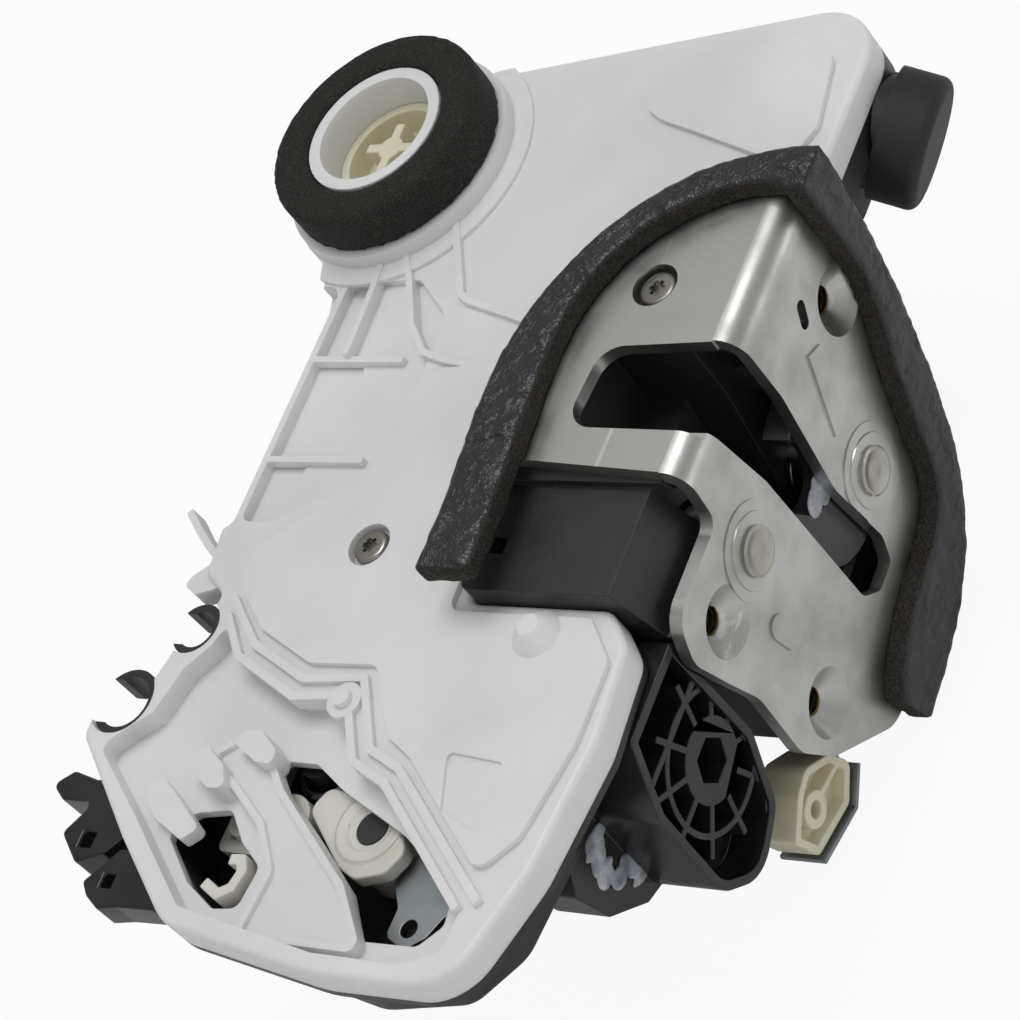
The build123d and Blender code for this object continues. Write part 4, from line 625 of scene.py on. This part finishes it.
class Bench:
    """Operator steps that every modelled piece goes through."""

    @staticmethod
    def clear() -> None:
        """Deselect everything."""
        if bpy.context.object is not None and bpy.context.object.mode != "OBJECT":
            bpy.ops.object.mode_set(mode="OBJECT")
        bpy.ops.object.select_all(action="DESELECT")

    @staticmethod
    def pick(obj: bpy.types.Object) -> None:
        """Select one object and make it active."""
        Bench.clear()
        obj.select_set(True)
        bpy.context.view_layer.objects.active = obj

    @staticmethod
    def open_all(obj: bpy.types.Object) -> None:
        """Open a piece in edit mode with all of it selected."""
        Bench.pick(obj)
        bpy.ops.object.mode_set(mode="EDIT")
        bpy.ops.mesh.select_all(action="SELECT")

    @staticmethod
    def shut() -> None:
        """Leave edit mode."""
        bpy.ops.object.mode_set(mode="OBJECT")

    @staticmethod
    def copy_of(node: str, name: str) -> bpy.types.Object:
        """Copy a CAD node's mesh into a new piece with its doubles merged.

        Args:
            node: Name of the CAD node.
            name: Name of the new piece.

        Returns:
            The new object, at the origin.
        """
        source = frame["nodes"][node]
        obj = bpy.data.objects.new(name, source.data.copy())
        bpy.context.scene.collection.objects.link(obj)
        obj.data.materials.clear()
        Bench.open_all(obj)
        bpy.ops.mesh.remove_doubles(threshold=MERGE_GAP)
        Bench.shut()
        return obj

    @staticmethod
    def modify(obj: bpy.types.Object, kind: str, **values: object) -> None:
        """Add a modifier with its values and apply it.

        Args:
            obj: The piece.
            kind: Blender's modifier type.
            values: Modifier properties.
        """
        Bench.pick(obj)
        mod = obj.modifiers.new(kind.lower(), kind)
        for key, value in values.items():
            setattr(mod, key, value)
        bpy.ops.object.modifier_apply(modifier=mod.name)

    @staticmethod
    def settle(obj: bpy.types.Object) -> None:
        """Apply the object's place, turn and size to its mesh."""
        Bench.pick(obj)
        bpy.ops.object.transform_apply(location=True, rotation=True, scale=True)

    @staticmethod
    def dress(obj: bpy.types.Object, name: str, body: str, finish: object,
              angle: float = 40.0) -> bpy.types.Object:
        """Name a piece, give it its finish and let it ride on its body.

        Args:
            obj: The piece.
            name: Its name.
            body: The CAD body it rides on.
            finish: Its finish.
            angle: Widest angle in degrees that is shaded smooth.

        Returns:
            The same object.
        """
        obj.name = name
        obj.data.name = name
        Bench.settle(obj)
        bpy.ops.object.shade_smooth_by_angle(angle=math.radians(angle))
        obj.data.materials.clear()
        obj.data.materials.append(Paint.of(finish))
        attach(obj, body)
        LOG.info("%s rides on %s, %d faces", name, body, len(obj.data.polygons))
        return obj

    @staticmethod
    def join(parts: Sequence[bpy.types.Object]) -> bpy.types.Object:
        """Join several meshes into the first."""
        Bench.clear()
        for part in parts:
            part.select_set(True)
        bpy.context.view_layer.objects.active = parts[0]
        if len(parts) > 1:
            bpy.ops.object.join()
        return bpy.context.view_layer.objects.active

    @staticmethod
    def choose(obj: bpy.types.Object, kind: str, elements: str,
               want: Callable[[object], bool]) -> None:
        """Select the mesh elements that pass a test, and open the piece in edit mode.

        Args:
            obj: The piece.
            kind: Select mode, FACE or VERT.
            elements: Name of the mesh's list of those elements.
            want: Test of one element.
        """
        Bench.pick(obj)
        bpy.ops.object.mode_set(mode="EDIT")
        bpy.ops.mesh.select_mode(type=kind)
        bpy.ops.mesh.select_all(action="DESELECT")
        Bench.shut()
        for element in getattr(obj.data, elements):
            element.select = want(element)
        bpy.ops.object.mode_set(mode="EDIT")

    @staticmethod
    def faces(obj: bpy.types.Object, want: Callable[[bpy.types.MeshPolygon], bool]) -> None:
        """Select the faces that pass a test, and open the piece in edit mode.

        Args:
            obj: The piece.
            want: Test of a face, by its normal or centre.
        """
        Bench.choose(obj, "FACE", "polygons", want)

    @staticmethod
    def points(obj: bpy.types.Object, want: Callable[[Vector], bool]) -> None:
        """Select the points that pass a test, and open the piece in edit mode.

        Args:
            obj: The piece.
            want: Test of a point's place.
        """
        Bench.choose(obj, "VERT", "vertices", lambda vert: want(vert.co))

    @staticmethod
    def body_of(node: str) -> str:
        """Return the body that a CAD node belongs to."""
        return body_of(frame["nodes"][node])[0]

    @staticmethod
    def keep_below(obj: bpy.types.Object, top: float) -> None:
        """Hold every point of a piece at or under a height.

        Args:
            obj: Piece at rest, with no rotation.
            top: Height that no point passes, in millimetres.
        """
        for vert in obj.data.vertices:
            vert.co.z = min(vert.co.z, top * MM)

    @staticmethod
    def flatten(obj: bpy.types.Object) -> None:
        """Merge points that fall together and take out edges across flat faces."""
        level = math.radians(0.1)
        Bench.open_all(obj)
        bpy.ops.mesh.remove_doubles(threshold=WELD_GAP)
        bpy.ops.mesh.dissolve_limited(angle_limit=level)
        Bench.shut()

    @staticmethod
    def soften(node: str, name: str, width: float, angle: float = 34.0) -> bpy.types.Object:
        """Copy a CAD node and round its sharp edges, as a mould or a press leaves them.

        Args:
            node: Name of the CAD node.
            name: Name of the new piece.
            width: Width of the rounding in millimetres.
            angle: Least angle in degrees of an edge that is rounded.

        Returns:
            The new object.
        """
        obj = Bench.copy_of(node, name)
        Bench.flatten(obj)
        Bench.modify(obj, "BEVEL", width=width * MM, segments=2, limit_method="ANGLE",
                     angle_limit=math.radians(angle), use_clamp_overlap=False)
        return obj


@dataclass
class FoamSeals:
    """The wrapped gasket on the steel and the foam ring round the key spigot."""

    voxel: float = 0.7
    crumple: float = 0.16
    cells: float = 0.25
    ring_voxel: float = 1.0
    fold_size: float = 0.004
    face_x: float = 3.5
    flange_z: float = 24.0
    film_top: float = 28.65
    film_facing: float = 0.62
    bulge_share: float = 0.6

    def build(self) -> None:
        """Build both seals."""
        self.gasket()
        self.ring()

    def gasket(self) -> None:
        """Model the gasket strip with its film folds and mark its cut edges."""
        obj = Bench.copy_of("foam_gasket", "gasket_wrap")
        Bench.modify(obj, "REMESH", mode="VOXEL", voxel_size=self.voxel * MM)
        Bench.modify(obj, "SMOOTH", factor=0.5, iterations=2)
        folds = bpy.data.textures.new("film_folds", "MUSGRAVE")
        folds.noise_scale = self.fold_size
        Bench.modify(obj, "DISPLACE", texture=folds, texture_coords="LOCAL",
                     strength=self.crumple * MM, mid_level=1.0)
        Bench.keep_below(obj, self.film_top)
        cut = obj.data.attributes.new("cut_edge", "FLOAT", "POINT")
        for vert, slot in zip(obj.data.vertices, cut.data):
            up = max(abs(vert.normal.x) if vert.co.x > self.face_x * MM else 0.0,
                     abs(vert.normal.z) if vert.co.z > self.flange_z * MM else 0.0)
            slot.value = 0.0 if up > self.film_facing else 1.0
        piece = Bench.dress(obj, "gasket_wrap", "housing", FILM_FOAM, 60.0)
        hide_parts("foam_gasket")

    def ring(self) -> None:
        """Model the foam ring with softened, slightly bulging sides."""
        obj = Bench.copy_of("foam_ring", "spigot_ring")
        Bench.modify(obj, "REMESH", mode="VOXEL", voxel_size=self.ring_voxel * MM)
        Bench.modify(obj, "SMOOTH", factor=0.5, iterations=3)
        lumps = bpy.data.textures.new("foam_lumps", "CLOUDS")
        lumps.noise_scale = self.fold_size
        Bench.modify(obj, "DISPLACE", texture=lumps, texture_coords="LOCAL",
                     strength=self.cells * MM, mid_level=self.bulge_share)
        Bench.keep_below(obj, self.film_top)
        piece = Bench.dress(obj, "spigot_ring", "housing", RING_FOAM, 60.0)
        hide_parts("foam_ring")


@dataclass
class MouldedShells:
    """Moulded and pressed pieces of the frame, with their edges rounded."""

    rounds: tuple[tuple[str, str, float], ...] = (
        ("latch_case", "case_shell", 0.15), ("mechanism_housing", "mechanism_shell", 0.25),
        ("rod_clip", "rod_clip_shell", 0.3), ("cable_clip_upper", "upper_hook", 0.5),
        ("cable_clip_lower", "lower_hook", 0.5), ("lock_lever", "lock_hook", 0.3),
        ("inside_lever", "inside_lobe", 0.4), ("link_lever", "link_blade", 0.15),
        ("key_coupling", "key_star", 0.3),
    )

    def build(self) -> None:
        """Round each piece and put it in its CAD node's place."""
        for node, name, width in self.rounds:
            shell = Bench.soften(node, name, width)
            piece = Bench.dress(shell, name, Bench.body_of(node), NODE_FINISH[node], 34.0)
            Bench.modify(piece, "WEIGHTED_NORMAL", keep_sharp=True)
            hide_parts(node)


@dataclass
class ScrewHeads:
    """Pan-head screws with six-lobed recesses, one in the flange and one in the cover."""

    screws: tuple[tuple[str, str, float, float, float, float, float], ...] = (
        ("case_screw", "flange_screw", -17.6, 50.0, 21.5, 3.5, 1.8),
        ("cover_screw", "shell_screw", -61.3, 1.5, 15.0, 3.4, 2.0),
    )
    shaft_r: float = 1.5
    shaft_l: float = 9.8
    recess_r: float = 1.55
    recess_l: float = 1.1
    lobe: float = 0.76
    lobes_round: int = 6
    lobe_from: float = -0.35
    crown: float = 0.8
    crown_steps: int = 5
    seam: float = 0.05

    def build(self) -> None:
        """Model each screw and put it in its CAD node's place."""
        for node, name, x, y, low, radius, height in self.screws:
            piece = Bench.dress(self.screw(x, y, low, radius, height), name, "housing",
                                SCREW_STEEL, 30.0)
            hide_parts(node)

    def screw(self, x: float, y: float, low: float, radius: float,
              height: float) -> bpy.types.Object:
        """Turn one screw.

        Args:
            x: Place across, in millimetres.
            y: Place along, in millimetres.
            low: Height of the head's seat.
            radius: Radius of the head.
            height: Thickness of the head.

        Returns:
            The screw.
        """
        Bench.clear()
        bpy.ops.mesh.primitive_cylinder_add(vertices=48, radius=radius * MM, depth=height * MM,
                                            location=(x * MM, y * MM, (low + height / 2) * MM))
        obj = bpy.context.object
        Bench.settle(obj)
        Bench.faces(obj, lambda face: face.normal.z > FACING)
        bpy.ops.mesh.bevel(offset=self.crown * MM, segments=self.crown_steps, affect="EDGES")
        top = (low + height) * MM

        def on_top(face: bpy.types.MeshPolygon) -> bool:
            """Tell whether a face lies in the head's flat top."""
            return face.normal.z > FACING and abs(face.center.z - top) < LEVEL_GAP

        Bench.faces(obj, on_top)
        bpy.ops.mesh.inset(thickness=(radius - self.crown - self.recess_r) * MM, depth=0)
        Bench.shut()
        self.lobes(obj, x * MM, y * MM, top)
        many = 20
        Bench.faces(obj, lambda face: on_top(face) and len(face.vertices) > many)
        bpy.ops.mesh.inset(thickness=self.seam * MM, depth=-self.recess_l * MM)
        Bench.faces(obj, lambda face: face.normal.z < -FACING)
        bpy.ops.mesh.inset(thickness=(radius - self.shaft_r) * MM, depth=0)
        bpy.ops.mesh.extrude_region_move(
            TRANSFORM_OT_translate={"value": (0, 0, -self.shaft_l * MM)})
        Bench.shut()
        return obj

    def lobes(self, obj: bpy.types.Object, x: float, y: float, top: float) -> None:
        """Pull every other stretch of the recess's rim inwards.

        Args:
            obj: The screw.
            x: Place across, in metres.
            y: Place along, in metres.
            top: Height of the head's top, in metres.
        """
        def inward(spot: Vector) -> bool:
            """Tell whether a rim point lies between two lobes."""
            away = math.hypot(spot.x - x, spot.y - y)
            turn = math.atan2(spot.y - y, spot.x - x)
            return (abs(spot.z - top) < LEVEL_GAP
                    and away < (self.recess_r + self.seam) * MM
                    and math.cos(self.lobes_round * turn) < self.lobe_from)

        Bench.points(obj, inward)
        bpy.ops.transform.resize(value=(self.lobe, self.lobe, 1.0))
        Bench.shut()


@dataclass
class GreaseSmears:
    """Thin strokes of assembly grease on the mechanism housing and on the claw."""

    patches: tuple[tuple[str, Point, Point, int], ...] = (
        ("housing", (-12.9, -38.5, -10.0), (0.1, 3.2, 2.0), 7),
        ("housing", (-12.9, -38.0, -16.0), (0.1, 3.2, 2.5), 9),
        ("housing", (-12.9, -35.0, -22.0), (0.1, 1.8, 2.0), 6),
        ("claw", (0.45, 33.5, -13.5), (0.1, 1.8, 2.0), 6),
    )
    length: float = 2.4
    width: float = 1.5
    swell: float = 0.55
    ripple: float = 0.12
    ripple_size: float = 0.0011
    voxel: float = 0.22
    smoothing: int = 8
    length_spread: tuple[float, float] = (0.5, 1.3)
    width_spread: tuple[float, float] = (0.6, 1.5)
    turn_spread: tuple[float, float] = (-0.9, 1.4)
    seed: int = 11

    def build(self) -> None:
        """Lay the strokes of every patch and join those that ride together."""
        ripples = bpy.data.textures.new("grease_ripples", "CLOUDS")
        ripples.noise_scale = self.ripple_size
        pick = random.Random(self.seed)
        groups: dict[str, list[bpy.types.Object]] = {}
        for body, centre, spread, count in self.patches:
            for _ in range(count):
                spot = [(c + pick.uniform(-r, r)) * MM for c, r in zip(centre, spread)]
                size = (self.swell, self.length * pick.uniform(*self.length_spread),
                        self.width * pick.uniform(*self.width_spread))
                Bench.clear()
                bpy.ops.mesh.primitive_ico_sphere_add(
                    subdivisions=4, radius=MM, location=spot,
                    rotation=(pick.uniform(*self.turn_spread), 0, 0), scale=size)
                obj = bpy.context.object
                Bench.settle(obj)
                Bench.modify(obj, "DISPLACE", texture=ripples, texture_coords="LOCAL",
                             strength=self.ripple * MM, mid_level=0.5)
                groups.setdefault(body, []).append(obj)
        for body, parts in groups.items():
            smear = Bench.join(parts)
            Bench.modify(smear, "REMESH", mode="VOXEL", voxel_size=self.voxel * MM)
            Bench.modify(smear, "SMOOTH", factor=0.5, iterations=self.smoothing)
            Bench.dress(smear, f"grease_on_{body}", body, GREASE, 60.0)


@dataclass
class SteelFace:
    """Threads and riveted heads of the steel face."""

    fixings: tuple[tuple[float, float], ...] = ((0.0, 0.0), (4.5, -33.2), (61.3, 3.6))
    thread_r: float = 2.45
    thread_x: float = -5.4
    ridge: float = 0.42
    pitch: float = 1.0
    turns: int = 5
    turn_steps: int = 20
    dish: tuple[tuple[float, float], ...] = (
        (0.35, 0.0), (0.25, -0.2), (0.7, 0.0), (0.3, -0.18), (1.0, 0.0), (0.3, 0.08))

    def build(self) -> None:
        """Build every detail of the face."""
        self.threads()
        self.heads()

    def heads(self) -> None:
        """Press each pin's head: a raised rim, a flat and a shallow dish."""
        for node, name in (("claw_pin", "claw_rivet"), ("pawl_pin", "pawl_rivet")):
            obj = Bench.copy_of(node, name)
            Bench.flatten(obj)
            top = max(vert.co.x for vert in obj.data.vertices)
            Bench.faces(obj, lambda face: face.normal.x > FACING
                        and abs(face.center.x - top) < LEVEL_GAP)
            for thick, deep in self.dish:
                bpy.ops.mesh.inset(thickness=thick * MM, depth=deep * MM)
            Bench.shut()
            piece = Bench.dress(obj, name, Bench.body_of(node), RIVET_STEEL, 50.0)
            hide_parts(node)

    def threads(self) -> None:
        """Wind a thread ridge into each fixing hole."""
        parts = []
        for y, z in self.fixings:
            Bench.clear()
            bpy.ops.mesh.primitive_circle_add(vertices=3, radius=self.ridge * MM,
                                              fill_type="NGON", location=(0, 0, 0))
            obj = bpy.context.object
            Bench.open_all(obj)
            bpy.ops.transform.translate(value=(0, self.thread_r * MM, 0))
            Bench.shut()
            Bench.modify(obj, "SCREW", axis="X", screw_offset=self.pitch * MM,
                         angle=2 * math.pi, iterations=self.turns, steps=self.turn_steps,
                         render_steps=self.turn_steps)
            obj.location = (self.thread_x * MM, y * MM, z * MM)
            Bench.settle(obj)
            Bench.open_all(obj)
            bpy.ops.mesh.normals_make_consistent(inside=False)
            Bench.shut()
            parts.append(obj)
        Bench.dress(Bench.join(parts), "fixing_threads", "housing", THREAD_BRONZE)


@dataclass
class Studio:
    """Camera at the photograph's angle, soft lamps, white floor and backdrop."""

    eye: Point = (328.348, -234.552, 407.335)
    right: Point = (0.784931, 0.354291, -0.508292)
    up: Point = (-0.024405, 0.837420, 0.546014)
    back: Point = (0.619102, -0.416179, 0.665964)
    focal: float = 3534.0
    image: float = 1020.0
    sensor: float = 36.0
    nearest: float = 0.01
    centre: Point = (-40.0, 15.0, -5.0)
    swing_room: float = 3.5
    world_glow: float = 0.42
    backdrop: float = 1.0
    floor_size: float = 6.0
    floor_white: float = 0.86
    floor_rough: float = 0.9
    floor_glow: float = 0.93
    lamps: tuple[tuple[str, float, float, float, float, float], ...] = (
        ("key", -0.45, 0.75, 0.55, 0.55, 4.2),
        ("fill", 0.85, 0.15, 0.35, 0.7, 1.6),
        ("front", -0.1, -0.35, 0.9, 0.8, 1.1),
    )

    def build(self) -> None:
        """Set up the whole studio."""
        self.camera()
        self.lights()
        self.floor()
        bpy.context.scene.view_settings.view_transform = "Standard"

    def camera(self) -> None:
        """Create the camera and make it the scene's."""
        data = bpy.data.cameras.new("photo_camera")
        data.sensor_width = self.sensor
        data.lens = self.focal / self.image * self.sensor
        data.clip_start = self.nearest
        obj = bpy.data.objects.new("photo_camera", data)
        bpy.context.scene.collection.objects.link(obj)
        basis = Matrix((self.right, self.up, self.back)).transposed().to_4x4()
        obj.matrix_world = Matrix.Translation(Vector(self.eye) * MM) @ basis
        bpy.context.scene.camera = obj

    def lights(self) -> None:
        """Hang the soft lamps round the camera's view and light the world."""
        centre = Vector(self.centre) * MM
        for name, side, high, near, size, power in self.lamps:
            data = bpy.data.lights.new(name, "AREA")
            data.size = size
            data.energy = power
            obj = bpy.data.objects.new(name, data)
            bpy.context.scene.collection.objects.link(obj)
            away = side * Vector(self.right) + high * Vector(self.up) + near * Vector(self.back)
            turn = away.to_track_quat("Z", "Y").to_matrix().to_4x4()
            obj.matrix_world = Matrix.Translation(centre + away) @ turn
        world = bpy.data.worlds.new("studio")
        bpy.context.scene.world = world
        world.use_nodes = True
        tree = world.node_tree
        tree.nodes.clear()
        out = place(tree, "ShaderNodeOutputWorld")
        soft, white = (place(tree, "ShaderNodeBackground", Color=(1, 1, 1, 1), Strength=glow)
                       for glow in (self.world_glow, self.backdrop))
        path = place(tree, "ShaderNodeLightPath")
        both = place(tree, "ShaderNodeMath")
        both.operation = "MAXIMUM"
        mix = place(tree, "ShaderNodeMixShader")
        tree.links.new(path.outputs["Is Camera Ray"], both.inputs[0])
        tree.links.new(path.outputs["Is Transmission Ray"], both.inputs[1])
        tree.links.new(both.outputs[0], mix.inputs["Fac"])
        tree.links.new(soft.outputs[0], mix.inputs[1])
        tree.links.new(white.outputs[0], mix.inputs[2])
        tree.links.new(mix.outputs[0], out.inputs["Surface"])

    def floor(self) -> None:
        """Lay the plain white floor under the handle clip's lowest swing."""
        Bench.clear()
        low = CAD_BOX[0][2] - self.swing_room * MM
        bpy.ops.mesh.primitive_plane_add(size=self.floor_size, location=(0, 0, low))
        obj = bpy.context.object
        obj.name = "floor"
        shader = Shader("floor_white")
        white = self.floor_white
        shader.set(Base_Color=(white, white, white, 1), Roughness=self.floor_rough)
        tree = shader.tree
        glow = place(tree, "ShaderNodeEmission", Strength=1.0)
        path = place(tree, "ShaderNodeLightPath")
        scale = place(tree, "ShaderNodeMath")
        scale.operation = "MULTIPLY"
        scale.inputs[1].default_value = self.floor_glow
        mix = place(tree, "ShaderNodeMixShader")
        out = tree.nodes["Material Output"]
        tree.links.new(path.outputs["Is Camera Ray"], scale.inputs[0])
        tree.links.new(scale.outputs[0], mix.inputs["Fac"])
        tree.links.new(shader.bsdf.outputs[0], mix.inputs[1])
        tree.links.new(glow.outputs[0], mix.inputs[2])
        tree.links.new(mix.outputs[0], out.inputs["Surface"])
        obj.data.materials.append(shader.material)


def dress_nodes() -> None:
    """Give every CAD node that stays its finish."""
    for name, obj in frame["nodes"].items():
        finish = NODE_FINISH[name]
        obj.data.materials.clear()
        obj.data.materials.append(Paint.of(finish))
        LOG.info("%s gets %s", name, finish.name)


def main() -> None:
    """Build the dressed part and its studio."""
    logging.basicConfig(level=logging.INFO, format="%(name)s: %(message)s")
    dress_nodes()
    for assembly in (MouldedShells(), FoamSeals(), SteelFace(), ScrewHeads(), GreaseSmears(),
                     Studio()):
        LOG.info("building %s", type(assembly).__name__)
        assembly.build()


if __name__ == "__main__":
    main()
